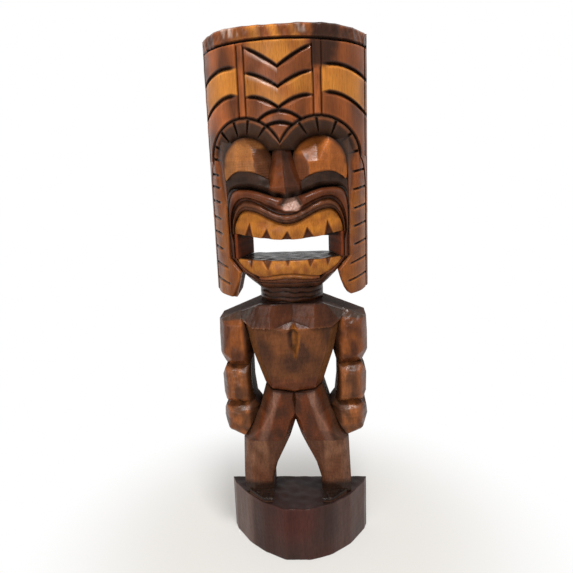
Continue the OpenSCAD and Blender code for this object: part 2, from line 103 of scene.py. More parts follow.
def blur(a, n):
    """Averages a grid over n cells each way."""
    for axis in (0, 1):
        pads = [(n + 1, n) if k == axis else (0, 0) for k in (0, 1)]
        total = np.cumsum(np.pad(a, pads, mode="edge"), axis=axis)
        last = total.shape[axis]
        high = np.take(total, np.arange(2 * n + 1, last), axis)
        low = np.take(total, np.arange(0, last - 2 * n - 1), axis)
        a = (high - low) / (2 * n + 1)
    return a


def waver(x, z, pitch, seed):
    """A gentle unevenness between about -1 and 1, as a hand-held tool leaves."""
    draw = np.random.default_rng(seed)
    total = 0
    for _ in range(6):
        angle, phase, stretch = draw.uniform(0, TAU), draw.uniform(0, TAU), draw.uniform(0.6, 1.6)
        along = x * math.cos(angle) + z * math.sin(angle)
        total = total + np.sin(TAU * along / (pitch * stretch) + phase)
    return total / 3


def near(d, reach):
    """1 at an edge, where d is 0 or less, and falling evenly to 0 where d is the reach."""
    return np.clip(1 - d / reach, 0, 1)


def mixed(a, b, t):
    """Colours a and b mixed by a grid t, from 0 for a to 1 for b."""
    t = np.clip(t, 0, 1)[..., None]
    return np.asarray(a) * (1 - t) + np.asarray(b) * t


def coats(stain, *more):
    """Stain laid on coat over coat. A coat is a colour and a grid of how much of it takes."""
    for colour, share in more:
        stain = mixed(stain, colour, share)
    return stain


def stain_and_shade_in_hollows(colour, y, dark=0.72, pale=0.35):
    """Stain that gathers in hollows, with painted shade that darkens them further, and wears thin on edges,
    on a front at depths y.
    """
    hollow = y - blur(y, 5)
    # Painted shade: the hollows are darkened beyond the stain that pools in them; edges are paler with
    # wear.
    tone = 1 - dark * np.clip(hollow / 1.2, 0, 1) + pale * np.clip(-hollow / 0.9, 0, 1)
    return np.asarray(colour) * tone[..., None]


SHARP_EDGE = math.radians(42)
BARE_BACK = (0.105, 0.05, 0.027)


def solid(node, slot, front, back, stain, side, walls=6, touch=None, varnish=(1, 0)):
    """Closes a front and a back grid into one piece that stands for a node of the frame.

    side is the stain of its walls, varnish how glossy the front and the rest are, from 0 to 1.
    """
    rows, cols = front.shape[:2]
    size = rows * cols
    index = np.arange(size).reshape(rows, cols)
    ring = np.r_[index[0, :-1], index[:-1, -1], index[-1, :0:-1], index[:0:-1, 0]]
    front, back, stain = front.reshape(-1, 3), back.reshape(-1, 3), stain.reshape(-1, 3)
    side = np.asarray(side, float)
    points, tints, hoops = [front, back], [stain, np.tile(BARE_BACK, (size, 1))], [ring]
    coat = np.r_[np.full(size, varnish[0]), np.full(size + (walls - 1) * len(ring), varnish[1])]
    for k in range(1, walls):
        t = k / walls
        start = 2 * size + (k - 1) * len(ring)
        points.append(front[ring] * (1 - t) + back[ring] * t)
        tints.append(stain[ring] * max(0, 1 - 2 * t) + side * min(1, 2 * t))
        hoops.append(np.arange(start, start + len(ring)))
    hoops.append(size + ring)
    cells = [index[:-1, :-1], index[:-1, 1:], index[1:, 1:], index[1:, :-1]]
    quads = [np.stack(cells, -1).reshape(-1, 4)]
    quads.append(quads[0][:, ::-1] + size)
    for a, b in zip(hoops, hoops[1:]):
        quads.append(np.stack([b, np.roll(b, -1), np.roll(a, -1), a], -1))
    points, tints, quads = np.concatenate(points), np.concatenate(tints), np.concatenate(quads)
    if touch:
        points = touch(points)
    a, b, c, d = (points[quads[:, k]] for k in range(4))
    if np.einsum("ij,ij->i", a + c, np.cross(b - a, c - a) + np.cross(c - a, d - a)).sum() < 0:
        quads = quads[:, ::-1]
    mesh = bpy.data.meshes.new(node + "_carving")
    mesh.vertices.add(len(points))
    mesh.vertices.foreach_set("co", (points * MM).ravel())
    mesh.loops.add(quads.size)
    mesh.loops.foreach_set("vertex_index", quads.ravel())
    mesh.polygons.add(len(quads))
    mesh.polygons.foreach_set("loop_start", np.arange(0, quads.size, 4))
    mesh.update(calc_edges=True)
    mesh.validate()
    mesh.polygons.foreach_set("use_smooth", np.ones(len(quads), bool))
    mesh.set_sharp_from_angle(angle=SHARP_EDGE)
    tint = mesh.attributes.new("stain", "FLOAT_COLOR", "POINT")
    tint.data.foreach_set("color", np.c_[np.clip(tints, 0, 1), coat].ravel())
    piece = bpy.data.objects.new(node + "_carving", mesh)
    bpy.context.collection.objects.link(piece)
    mesh.materials.append(finishes[slot])
    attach(piece, "root")
    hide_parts(node)
    return piece


def put(tree, kind, sockets, **modes):
    """Adds a shader node, sets its modes, and gives its inputs their values or links."""
    made = tree.nodes.new("ShaderNode" + kind)
    for name, mode in modes.items():
        setattr(made, name, mode)
    for name, value in sockets.items():
        if isinstance(value, bpy.types.NodeSocket):
            tree.links.new(value, made.inputs[name])
        else:
            made.inputs[name].default_value = value
    return made


UNVARNISHED = 0.72


def varnished(slot, grain, gloss, bump, shine=0.12):
    """Stained wood under varnish: upright grain, pores and blotches over the stain."""
    made = bpy.data.materials.new(slot)
    made.use_nodes = True
    tree = made.node_tree
    shader = tree.nodes["Principled BSDF"]
    place = put(tree, "TexCoord", {}).outputs["Object"]

    def noise(scale, stretch, detail, low, high):
        """Noise on the wood, drawn out along its grain, and spread from low to high."""
        turn = put(tree, "Mapping", {"Vector": place, "Scale": (1, 1, stretch)})
        cloud = put(tree, "TexNoise", {"Vector": turn.outputs["Vector"], "Scale": scale, "Detail": detail})
        spread = put(tree, "MapRange", {
            "Value": cloud.outputs["Fac"], "From Min": 0.3, "From Max": 0.7, "To Min": low, "To Max": high})
        return spread.outputs["Result"]

    def times(a, b):
        return put(tree, "Math", {0: a, 1: b}, operation="MULTIPLY").outputs[0]

    fibre = noise(1300, 0.035, 5, 1 - grain, 1 + grain)
    streak = noise(260, 0.02, 3, 1 - 0.7 * grain, 1 + 0.7 * grain)
    blotch = noise(38, 0.6, 3, 0.84, 1.14)
    pore = put(tree, "Clamp", {"Value": noise(2600, 0.05, 2, 0.55, 1.6)}).outputs["Result"]
    stain = put(tree, "Attribute", {}, attribute_name="stain")
    tone = times(times(fibre, streak), times(blotch, pore))
    scaled = put(tree, "VectorMath", {0: stain.outputs["Color"], "Scale": tone}, operation="SCALE")
    rubbed = noise(120, 0.3, 4, gloss - 0.07, gloss + 0.1)
    bare = put(tree, "MapRange", {"Value": stain.outputs["Alpha"], "To Min": UNVARNISHED, "To Max": rubbed})
    relief = put(tree, "Bump", {"Strength": bump, "Distance": 0.0002, "Height": times(fibre, pore)})
    tree.links.new(scaled.outputs["Vector"], shader.inputs["Base Color"])
    tree.links.new(bare.outputs["Result"], shader.inputs["Roughness"])
    tree.links.new(relief.outputs["Normal"], shader.inputs["Normal"])
    shader.inputs["Specular IOR Level"].default_value = shine
    return made


finishes = {
    "wood_red_brown": varnished("wood_red_brown", 0.16, 0.27, 0.25),
    "wood_orange": varnished("wood_orange", 0.13, 0.3, 0.2),
    "wood_dark": varnished("wood_dark", 0.12, 0.3, 0.2),
    "wood_maroon": varnished("wood_maroon", 0.1, 0.36, 0.15, 0.16),
    "wood_tan": varnished("wood_tan", 0.18, 0.27, 0.25),
}
HONEY = (0.58, 0.215, 0.035)
CHESTNUT = (0.20, 0.056, 0.015)
WALNUT = (0.11, 0.033, 0.012)
CHOCOLATE = (0.045, 0.018, 0.010)
SOOT = (0.02, 0.011, 0.008)
LOADED = (0.028, 0.011, 0.006)

rim_lo, rim_hi = corners("crown_rim")
head_half, back_y, front_y = rim_hi.x, rim_hi.y, rim_lo.y
rim_z, top_z = rim_lo.z, rim_hi.z


def round_r(half, deep):
    """The radius of a round front, from half its width and its depth from back to front."""
    return (half ** 2 + deep ** 2) / (2 * deep)


log_r = round_r(head_half, back_y - front_y)
log_axis_y = front_y + log_r
edge_x = head_half - 0.4
BACK_GAP = 0.6


def log_y(x, cut=0.0):
    """The round front of the half-log at x, cut to a depth that is measured square to it."""
    lean = np.sqrt(np.clip(1 - (x / log_r) ** 2, 0.05, 1))
    return np.minimum(log_axis_y - log_r * lean + cut / np.maximum(lean, 0.42), back_y - BACK_GAP)


def log_steps(x0, x1, pitch=HEAD_PITCH):
    """Steps from 0 to 1 between two places on the head that are even round its curve."""
    turn = np.linspace(math.asin(x0 / log_r), math.asin(x1 / log_r),
                       int(log_r * (math.asin(x1 / log_r) - math.asin(x0 / log_r)) / pitch) + 2)
    x = log_r * np.sin(turn)
    return (x - x0) / (x1 - x0)


def drift(x, z):
    """How far the carver's middle line wanders to one side, up the head."""
    return -3.5 * ease(z - 362, 50) * (1 - (x / head_half) ** 2)


def carve(node, slot, x, z, y, stain, side=CHOCOLATE, hand=1, deep=None, walls=6, touch=None,
          varnish=(1, 0)):
    """Makes one piece from its front, drawn for the right hand and turned over for the left."""
    if hand < 0:
        x, z, y, stain = -x[:, ::-1], z[:, ::-1], y[:, ::-1], stain[:, ::-1]
    x = x + drift(x, z)
    deep = back_y if deep is None else deep
    rear = deep + 0 * y
    if deep == back_y:
        rear = rear - 0.12 - 0.12 * np.sin(TAU * (z + 0.12 * x) / 3.4 + 0.8 * waver(x, z, 30, 5))
    front = np.stack([x, np.minimum(y, deep - 0.4), z], -1)
    return solid(node, slot, front, np.stack([x, rear, z], -1), stain, side, walls, touch, varnish)


def hewn(x, radius, width, seed):
    """How far flat axe strokes of about a width lie inside a round front, in millimetres."""
    draw = np.random.default_rng(seed)
    ends = np.cumsum(draw.uniform(0.6, 1.4, 40) * width) - 14 * width
    walked = radius * np.arcsin(np.clip(x / radius, -1, 1))
    n = np.clip(np.searchsorted(ends, walked), 1, 39)
    broad = ends[n] - ends[n - 1]
    t = (walked - ends[n - 1]) / broad
    return broad ** 2 / (2 * radius) * t * (1 - t)


def rim_shape():
    u, v = log_steps(-edge_x, edge_x), steps(top_z - rim_z)
    chop = lambda x: top_z - 0.8 - 0.6 * waver(x, 0 * x, 70, 3) - 0.35 * hewn(x, log_r, 15, 4)
    x, z = between(line((-edge_x, rim_z), (edge_x, rim_z)), graph(chop, -edge_x, edge_x), u, v)
    rise = z - rim_z
    cut = 3.0 * near(rise, 2.0) + 1.4 * near(chop(x) - z, 1.6)
    cut = cut + 1.3 * hewn(x, log_r, 15, 4) + 2.4 * hewn(x + 0.35 * (z - rim_z), log_r, 8, 6)
    cut = cut + 0.3 * waver(x, z, 22, 8) + 0.16 * waver(x, z, 6, 9)
    return x, z, cut


x, z, cut = rim_shape()
y = log_y(x, cut)
worn = np.exp(-((x + 7) / 22) ** 2) * (0.5 + 0.6 * waver(x, 0.4 * z, 11, 11))
stain = mixed(mixed(CHESTNUT, WALNUT, 0.4 + 0.6 * waver(x, 0.4 * z, 16, 10)), HONEY, 0.75 * worn)
# Pale patches on the chopped face are painted highlights.
for glint_x, wide in ((-41, 6), (-33, 3), (23, 4)):
    bare = ease(wide - np.abs(x - glint_x + 0.3 * (z - rim_z)), 2) * ease(z - rim_z - 3, 3)
    stain = mixed(stain, (0.46, 0.32, 0.26), bare * np.clip(0.5 + 0.6 * waver(x, 0.5 * z, 5, 13), 0, 0.85))
stain = coats(
    stain,
    (CHOCOLATE, np.clip(0.5 * waver(x, 0.5 * z, 13, 12), 0, 0.6) + 0.35 * ease(x - 20, 20)),
    (LOADED, 0.96 * ease(14 - np.abs(x - 40 - 0.3 * waver(x, z, 9, 14)), 5)),
    (SOOT, np.clip(1.6 - (z - rim_z) / 1.5, 0, 1)))
carve("crown_rim", "wood_red_brown", x, z, y, stain_and_shade_in_hollows(stain, y), CHESTNUT, walls=20)

# ---- Headdress ----
# Three carved fields and two ribs, all cut into the same round front of the log. The cuts
# are knife lines with a short wall above and a long slope below. The fields between them
# are left honey-coloured or rubbed with brown stain, then varnished.
brow_lo, brow_hi = corners("right_brow_band")
BROW_OVERLAP = 2.3
brow_r = (brow_hi.x + BROW_OVERLAP) / 2
brow_x = brow_r - BROW_OVERLAP
brow_z = brow_hi.z - brow_r
rib_lo, rib_hi = corners("right_rib")
rib_x0, rib_x1 = rib_lo.x, rib_hi.x


def brow_top(x):
    """The upper edge of the two brow arches, which is the lower edge of the headdress."""
    return brow_z + np.sqrt(np.clip(brow_r ** 2 - (np.abs(x) - brow_x) ** 2, 0, None))


def beside_brow(x, z):
    """How far a place is outside the brow arch."""
    return np.hypot(np.abs(x) - brow_x, np.maximum(z - brow_z, 0)) - brow_r


def field(x0, x1, cols):
    """A grid over the headdress between two upright lines, from the brow up to the rim."""
    return between(graph(brow_top, x0, x1), line((x0, rim_z), (x1, rim_z)), cols, steps(rim_z - brow_z))


def field_edges(x, z):
    """The gouge line under the rim and the one over the brow."""
    return 2.6 * near(rim_z - z, 1.6) + 2.2 * near(beside_brow(x, z), 2.0)


def both(part):
    """The right and the left piece of a pair, as hand and node. The left one is turned over."""
    return (1, "right_" + part), (-1, "left_" + part)


def bar(d, half):
    """A narrow notch of a given half width across d = 0."""
    return np.clip(1 - np.abs(d) / half, 0, 1)


def vee(d, above, below, depth):
    """A knife cut along d = 0, with a short wall above the line and a long slope below it."""
    return depth * np.clip(1 - np.where(d > 0, d / above, -d / below), 0, 1)


def cut_lines(x, z, rows):
    """Sums knife lines. A row is a line's height, its depth and its slope width below."""
    cut = 0
    ink = 0
    for height, depth, below in rows:
        d = z - height
        cut = cut + vee(d, 1.0, below, 1.2 * depth)
        ink = ink + np.clip(depth / 2.0, 0, 1) * np.clip(1.9 - np.abs(d - 0.2) / (0.5 + 0.35 * depth), 0, 1)
    return cut, np.clip(ink, 0, 1)


def smudge(x, z):
    """A patch of darker stain at the top right, where the brush was loaded."""
    right = 54 + 0.35 * (z - rim_z) + 1.5 * waver(x, z, 9, 21)
    return 0.96 * ease(x - 26, 3) * ease(right - x, 8) * ease(z - rim_z + 25, 6)


def inked(x, z, ink):
    """Near-black stain left in the knife lines, under the rim and along the brow, as two coats."""
    return ((SOOT, np.maximum(0.92 * ink, 1.2 * near(rim_z - z, 1.2))),
            (SOOT, np.clip(1.6 - beside_brow(x, z) / 1.2, 0, 0.95)))


GROOVE_X = 73.2
for hand, node in both("panel"):
    x, z = field(rib_x1, edge_x, log_steps(rib_x1, edge_x))
    t = (x - rib_x1 - 2.5) / 35
    arc_a = rim_z - 19.5 + 6 * t - 13.5 * t ** 2
    arc_b = rim_z - 42 + 3 * t - 18 * t ** 2
    taper = ease(x - rib_x1 + 0.5, 9) * (1 - 0.35 * ease(x - 66, 8))
    cut, ink = cut_lines(x, z, ((arc_a, 2.3 * taper, 3.6), (arc_b, 2.3 * taper, 3.6)))
    cut = cut + field_edges(x, z) + 1.8 * near(x - rib_x1, 1.4)
    cut = cut + vee(-(x - GROOVE_X), 0.7, 0.7, 1.3) + 0.25 * waver(x, z, 22, 30 + hand)
    y = log_y(x, cut)
    honey = ease(arc_a - z, 1.2) * ease(z - arc_b + 0.5, 1.4)
    upper = ease(z - arc_a, 2)
    brown = mixed(np.multiply(CHESTNUT, 2.0 if hand < 0 else 1.1), WALNUT,
                  0.4 + 0.6 * waver(x, 0.6 * z, 26, 33 + hand) + 0.2 * upper)
    light = mixed(np.multiply(HONEY, 1.0 if hand < 0 else 0.84), CHESTNUT,
                  0.16 + 0.22 * waver(x, 0.6 * z, 22, 36 + hand) + 0.5 * ease(x - 68, 6))
    stain = coats(
        brown,
        (light, honey),
        (LOADED, smudge(x, z) * (hand > 0)),
        *inked(x, z, ink),
        (CHOCOLATE, 0.8 * np.clip(1.2 - (x - rib_x1) / 1.2, 0, 1)),
        (CHOCOLATE, 0.7 * bar(x - GROOVE_X, 0.6)))
    carve(node, "wood_orange", x, z, y, stain_and_shade_in_hollows(stain, y), CHESTNUT, hand)

for hand, node in both("rib"):
    x, z = field(rib_x0, rib_x1, steps(rib_x1 - rib_x0, 0.36))
    across = (x - rib_x0) / (rib_x1 - rib_x0) * 2 - 1
    start = 4 if hand < 0 else 24
    open_v = ease((rim_z - start - z) / 3 + 1)
    cut = open_v * (1.9 * np.abs(across) ** 3.2) + 0.35 * open_v + field_edges(x, z)
    y = log_y(x, cut + 0.15 * waver(x, z, 16, 40 + hand))
    stain = coats(
        np.multiply(CHESTNUT, 1.5),
        (WALNUT, 0.4 + 0.45 * waver(x, z, 26, 42 + hand)),
        (SOOT, open_v * np.clip((np.abs(across) - 0.72) * 3.4, 0, 0.85)),
        (LOADED, smudge(x, z) * (hand > 0)),
        (SOOT, np.clip(1.2 - (rim_z - z) / 1.2, 0, 1)),
        (SOOT, np.clip(1.6 - beside_brow(x, z) / 1.2, 0, 0.95)))
    carve(node, "wood_tan", x, z, y, stain_and_shade_in_hollows(stain, y), CHESTNUT, hand)

x, z = field(-rib_x0, rib_x0, log_steps(-rib_x0, rib_x0, 0.5))
s = np.abs(x) / 28
chevrons = [rim_z - 21.3 + 21 * s - 4.7 * s ** 2, rim_z - 37.2 + 20 * s - 7.8 * s ** 2,
            rim_z - 54 + 21.5 * s - 12 * s ** 2]
arches = [rim_z - 56.3 - 8.7 * (x / 20) ** 2, rim_z - 65.9 - 2.9 * (x / 12) ** 2]
arm = ease(30 - np.abs(x), 9)
wide = 2.6 + 2.4 * ease(10 - np.abs(np.abs(x) - 11), 10)
rows = [(row, 2.4 * (0.25 + 0.75 * arm), wide) for row in chevrons]
rows.append((arches[0], 2.3 * ease(23 - np.abs(x), 5), 3.4))
rows.append((arches[1], 2.3 * ease(14 - np.abs(x), 4), 3.2))
cut, ink = cut_lines(x, z, rows)
cut = cut + field_edges(x, z) + 1.9 * near(rib_x0 - np.abs(x), 1.4) * ease(rim_z - 3 - z, 3)
y = log_y(x, cut + 0.25 * waver(x, z, 20, 50))
top_field = ease(z - chevrons[0] - 0.3, 1.4)
mid_field = ease(chevrons[1] - z, 1.4) * ease(z - chevrons[2], 1.4)
brown = mixed(np.multiply(CHESTNUT, 1.05), WALNUT, 0.5 + 0.6 * waver(x, 0.6 * z, 18, 52))
light = mixed(np.multiply(HONEY, 0.72), CHESTNUT, 0.18 + 0.3 * waver(x, 0.6 * z, 16, 54) + 0.25 * mid_field)
stain = mixed(brown, light, np.maximum(top_field * ease((24 - np.abs(x + 1)) / 8 + 0.4), 0.95 * mid_field))
# Painted highlights: pale bands on the slopes under the left strokes of the top two chevrons.
lit = bar(chevrons[0] - 3.2 - z, 3) + bar(chevrons[1] - 3 - z, 3)
stain = coats(
    stain,
    ((0.42, 0.27, 0.21), 0.6 * lit * (x < 0) * arm),
    (LOADED, smudge(x, z)),
    *inked(x, z, ink))
carve("center_panel", "wood_orange", x, z, y, stain_and_shade_in_hollows(stain, y), CHESTNUT)

# ---- Brow bands and lappets ----
# Each brow is a dark arch that slopes in from the face of the log to the eye, cut across by
# a row of short knife notches. It runs on down the side of the head as a hanging lappet,
# notched the same way, where the dark stain thins out to bare orange wood.
eye_lo, eye_hi = corners("right_eye")
eye_x = (eye_lo.x + eye_hi.x) / 2
eye_r = (eye_hi.x - eye_lo.x) / 2
eye_z = eye_hi.z - eye_r
socket_r = eye_r + 0.5
bridge_z = corners("nose")[1].z
band_end_z = brow_lo.z
jaw_lo, jaw_hi = corners("jaw")
face_half = jaw_hi.x


def arc(cx, cz, r, a0, a1):
    """A stretch of circle between two angles in degrees."""
    def at(t):
        a = np.radians(a0 + (a1 - a0) * t)
        return np.stack([cx + r * np.cos(a), cz + r * np.sin(a)], -1)
    return at


def chain(*parts):
    """Curves walked one after the other. A part is a curve and the share of the walk it takes."""
    ends = np.cumsum([0] + [share for _, share in parts])

    def at(t):
        t = np.asarray(t, float) * ends[-1]
        out = np.zeros(t.shape + (2,))
        for (curve, share), start in zip(parts, ends):
            inside = (t >= start - 1e-9) & (t <= start + share + 1e-9)
            out[inside] = curve(np.clip((t[inside] - start) / share, 0, 1))
        return out
    return at


def angle_of(x, z, cx, cz):
    return math.degrees(math.atan2(z - cz, x - cx))


cusp_z = float(brow_top(0.0))
bridge_x = eye_x - math.sqrt(socket_r ** 2 - (bridge_z - eye_z) ** 2)
band_in_x = eye_x + math.sqrt(socket_r ** 2 - (eye_z - band_end_z) ** 2)
ARCH_NOTCHES = {1: (118, 92, 63, 35, 7), -1: (126, 98, 74, 47, 22, 2)}
outer_line = chain((arc(brow_x, brow_z, brow_r, angle_of(0, cusp_z, brow_x, brow_z), 0), 0.92),
                   (line((brow_hi.x, brow_z), (brow_hi.x, band_end_z)), 0.08))
inner_line = chain((line((0, bridge_z), (bridge_x, bridge_z)), 0.09),
                   (arc(eye_x, eye_z, socket_r, angle_of(bridge_x, bridge_z, eye_x, eye_z),
                        angle_of(band_in_x, band_end_z, eye_x, eye_z)), 0.91))


def temple(x, z, cut):
    """The front of the log beside the eye, never deeper than the wood left behind it."""
    return np.minimum(log_y(x, cut), np.where(z > 345, -1.2 + 1.6 * np.clip(x - 57, 0, None), back_y))


ROOT_BROWN = (0.08, 0.027, 0.01)


def lappet_slope(x, z):
    """How far the top of a lappet leans in to the eye, from 0 to 1."""
    return np.clip((66.5 - x) / 12, 0, 1) ** 1.15 * ease(z - 348, 34)


for hand, node in both("brow_band"):
    u, v = steps(105), steps(12, 0.4)
    x, z = between(inner_line, outer_line, u, v)
    inward = 1 - v[:, None] + 0 * x
    along = u[None, :] + 0 * x
    outside = ease(along - 0.55, 0.4)
    drop = (11.5 - 5 * outside) * (1 - 0.25 * ease(0.12 - along, 0.12))
    cut = 1.0 + drop * np.clip((inward - 0.2 + 0.12 * outside) / 0.85, 0, 1) ** 1.15
    outline = near(inward, 0.1) * (1 - ease(along - 0.88, 0.06))
    cut = cut + 1.9 * outline
    angle = np.degrees(np.arctan2(z - brow_z, x - brow_x))
    notch, ink = 0, 0
    for a in ARCH_NOTCHES[hand]:
        aside = -brow_r * np.radians(angle - a) - 1.5 * inward + 0.6
        notch = np.maximum(notch, vee(aside, 0.8, 3.6 - 2.6 * inward, 1.0))
        ink = np.maximum(ink, bar(aside + 0.5 - 0.5 * inward, 2.1 - 1.5 * inward))
    ink = ink * ease(0.9 - inward, 0.3) * ease(inward - 0.04, 0.12)
    notch = notch * ease(1.0 - inward, 0.35) * ease(inward - 0.04, 0.12)
    root = ease(402 - z, 11) * ease(x - 50, 4)
    cut = cut * (1 - root) + root * (0.5 + 6.0 * lappet_slope(x, z))
    cut = cut + 2.2 * notch * (1 - 0.6 * root) + 0.3 * waver(x, z, 13, 60 + hand) * (1 - root)
    y = temple(x, z, cut)
    tan = ease(along - 0.78, 0.16)
    stain = mixed((0.048, 0.021, 0.011), np.multiply(CHESTNUT, 0.7), 0.9 * tan * ease(0.8 - inward, 0.3))
    hung = mixed(np.multiply(CHESTNUT, 0.8), WALNUT, 0.65 * ease(1 - (x - face_half) / 5))
    # A painted highlight runs along the top ridge of the band, and painted shade darkens it towards the
    # eye, over the near-black ink in the notches and the outline.
    stain = coats(
        stain,
        (mixed(hung, ROOT_BROWN, 0.8 * ease(lappet_slope(x, z) - 0.45, 0.4)), root),
        (CHESTNUT, 0.5 * bar(inward - 0.19, 0.1) * (1 - root)),
        (SOOT, np.clip(1.8 * ink + outline + 0.75 * ease(inward - 0.72, 0.2), 0, 1)))
    carve(node, "wood_dark", x, z, y, stain_and_shade_in_hollows(stain, y, dark=0.5, pale=0.6), CHOCOLATE, hand)

tip_z = corners("right_lappet")[0].z
LAPPET_ROOT = (face_half - 11.5, jaw_hi.z - 12)
LAPPET_NOTCHES = {
    1: (386, 370, 353, 336.5, 319.5, 303, 287),
    -1: (386.5, 375, 361.5, 346, 332, 317.5, 301.5, 286),
}
for hand, node in both("lappet"):
    heel = [(57, tip_z + 1.5), (53, tip_z + 4), (50, tip_z + 9), (47, tip_z + 17)]
    if hand < 0:
        heel = [(53, tip_z + 0.8), (50.6, tip_z + 1.8), (48.4, tip_z + 11), (46.2, tip_z + 19)]
    side = line(*heel, LAPPET_ROOT, (face_half - 6, jaw_hi.z - 6), (face_half, jaw_hi.z),
                (face_half, band_end_z))
    shelf = line((face_half, band_end_z), (brow_hi.x - 0.3, band_end_z), (brow_hi.x, brow_z),
                 (edge_x, brow_z))
    toe = line(heel[0], (edge_x - 8, tip_z + 1.2), (edge_x, tip_z + 3))
    x, z = patch(toe, shelf, side, line((edge_x, tip_z + 3), (edge_x, brow_z)),
                 log_steps(face_half, edge_x, 0.5), steps(brow_z - tip_z, 0.5))
    groove_x = edge_x - 2.2 - 5.1 * np.exp(-(brow_z - z) / 9)
    cut = 0.5 + vee(x - groove_x, 0.7, 0.8, 1.6) + 0.3 * waver(x, z, 15, 70 + hand)
    inner_x = np.interp(z, [tip_z, tip_z + 17, LAPPET_ROOT[1], 309], [55, 47, LAPPET_ROOT[0], face_half])
    cut = cut + 2.4 * near(x - inner_x, 2.6) ** 1.5
    slope = lappet_slope(x, z)
    cut = cut + 6.0 * slope
    notch, ink = 0, 0
    start = 59 if hand > 0 else 62
    for level in LAPPET_NOTCHES[hand]:
        d = z - level - 0.18 * (x - 64)
        reach = ease(groove_x + 0.3 - x, 1.2) * ease(x - start + 6 * ease(310 - z, 15), 3)
        notch = np.maximum(notch, vee(d, 0.8, 2.3, 1.0) * reach)
        swell = np.clip((x - start) / (groove_x - start), 0, 1)
        ink = np.maximum(ink, bar(d - 0.1, 0.7 + (1.5 if hand < 0 else 0.8) * swell) * reach)
    cut = cut + 2.0 * notch + 1.4 * near(z - tip_z, 1.6)
    y = temple(x, z, cut)
    faded = ease(380 - z, 28)
    stain = coats(
        np.multiply(CHESTNUT, 0.8),
        ((0.28, 0.085, 0.009), faded * (0.45 + 0.45 * waver(x, 0.5 * z, 18, 72 + hand))),
        (CHESTNUT, 0.6 * ease(x - groove_x, 1.0)),
        (WALNUT, 0.65 * ease(1 - (x - inner_x) / 5)),
        (ROOT_BROWN, 0.8 * ease(slope - 0.45, 0.4)),
        (SOOT, np.clip(1.6 * ink, 0, 0.95)),
        (CHOCOLATE, 0.85 * bar(x - groove_x, 0.7)))
    carve(node, "wood_tan", x, z, y, stain_and_shade_in_hollows(stain, y), WALNUT, hand)

# ---- Eyes ----
# Each closed eye is a bulge left in the hollow under the brow and finished with seven
# flat chisel cuts. The outer part is bare honey wood and the part by the nose is
# rubbed brown. A dark cove is hollowed out under it, down to the lip.
lid_x, lid_z = eye_x + 7, eye_z - 44
lips = [corners(node)[1] for node in ("outer_lip", "inner_lip", "upper_teeth")]
lip_reach, lip_peak = [lip.x for lip in lips], [lip.z for lip in lips]
lip_foot_z = corners("inner_lip")[0].z
LIP_PEAK_X = 37
LIP_DIP = (8, 13, 12)
LIP_BEND = (4.5, 2, 2)


def lip_z(level, x):
    """The height of a lip line: level 0 is its upper edge, 1 the line inside it, 2 the gum."""
    ax = np.abs(x)
    top, reach = lip_peak[level], lip_reach[level]
    wave = top - LIP_DIP[level] * (1 + np.cos(np.pi * np.minimum(ax, LIP_PEAK_X) / LIP_PEAK_X)) / 2
    t = np.clip((ax - LIP_PEAK_X) / (reach - LIP_PEAK_X), 0, 1)
    fall = 1 - (1 - t ** LIP_BEND[level]) ** (1 / LIP_BEND[level])
    return np.where(ax <= LIP_PEAK_X, wave, top - (top - lip_foot_z) * fall)


def seated(*look, walls=4, **more):
    """Makes one piece as carve does, but one that sits on the wood left behind the face."""
    return carve(*look, deep=0.0, walls=walls, **more)


def cuts_on(x, z, bowl, seats, seed, chip):
    """Flat cuts that touch a bulge at the seats, and which one it is; the deepest wins everywhere."""
    draw = np.random.default_rng(seed)
    y = np.full(x.shape, -1e9)
    which = np.zeros(x.shape, int)
    for n, (sx, sz) in enumerate(seats):
        h = 0.01
        y0 = bowl(sx, sz)
        slope_x = (bowl(sx + h, sz) - bowl(sx - h, sz)) / (2 * h)
        slope_z = (bowl(sx, sz + h) - bowl(sx, sz - h)) / (2 * h)
        plane = y0 + slope_x * (x - sx) + slope_z * (z - sz) + draw.uniform(-chip, chip)
        which = np.where(plane > y, n, which)
        y = np.maximum(y, plane)
    return y, which


def lid_line(x, hand):
    """The line between an eye and its lower lid, which falls away faster on the outer side."""
    return lid_z + (36.2 if hand > 0 else 38.2) - np.where(x < lid_x, 0.0131, 0.035) * (x - lid_x) ** 2


def eye_rim(degrees):
    """The outline of an eye, round by the nose and squarer at its outer lower corner."""
    a = np.radians(degrees)
    c, d = np.cos(a), np.sin(a)
    p = np.where((c > 0) & (d < 0), 4.0, 2.0)
    reach = (socket_r - 0.05) / (np.abs(c) ** p + np.abs(d) ** p) ** (1 / p)
    return np.stack([eye_x + reach * c, eye_z + reach * d], -1)


EYE_APEX_Z = eye_z - 9


def eye_bowl(x, z):
    dx, dz = x - eye_x, z - EYE_APEX_Z
    return log_y(eye_x) + 2.8 + 0.19 * dx + 0.019 * dx ** 2 + 0.0092 * dz ** 2


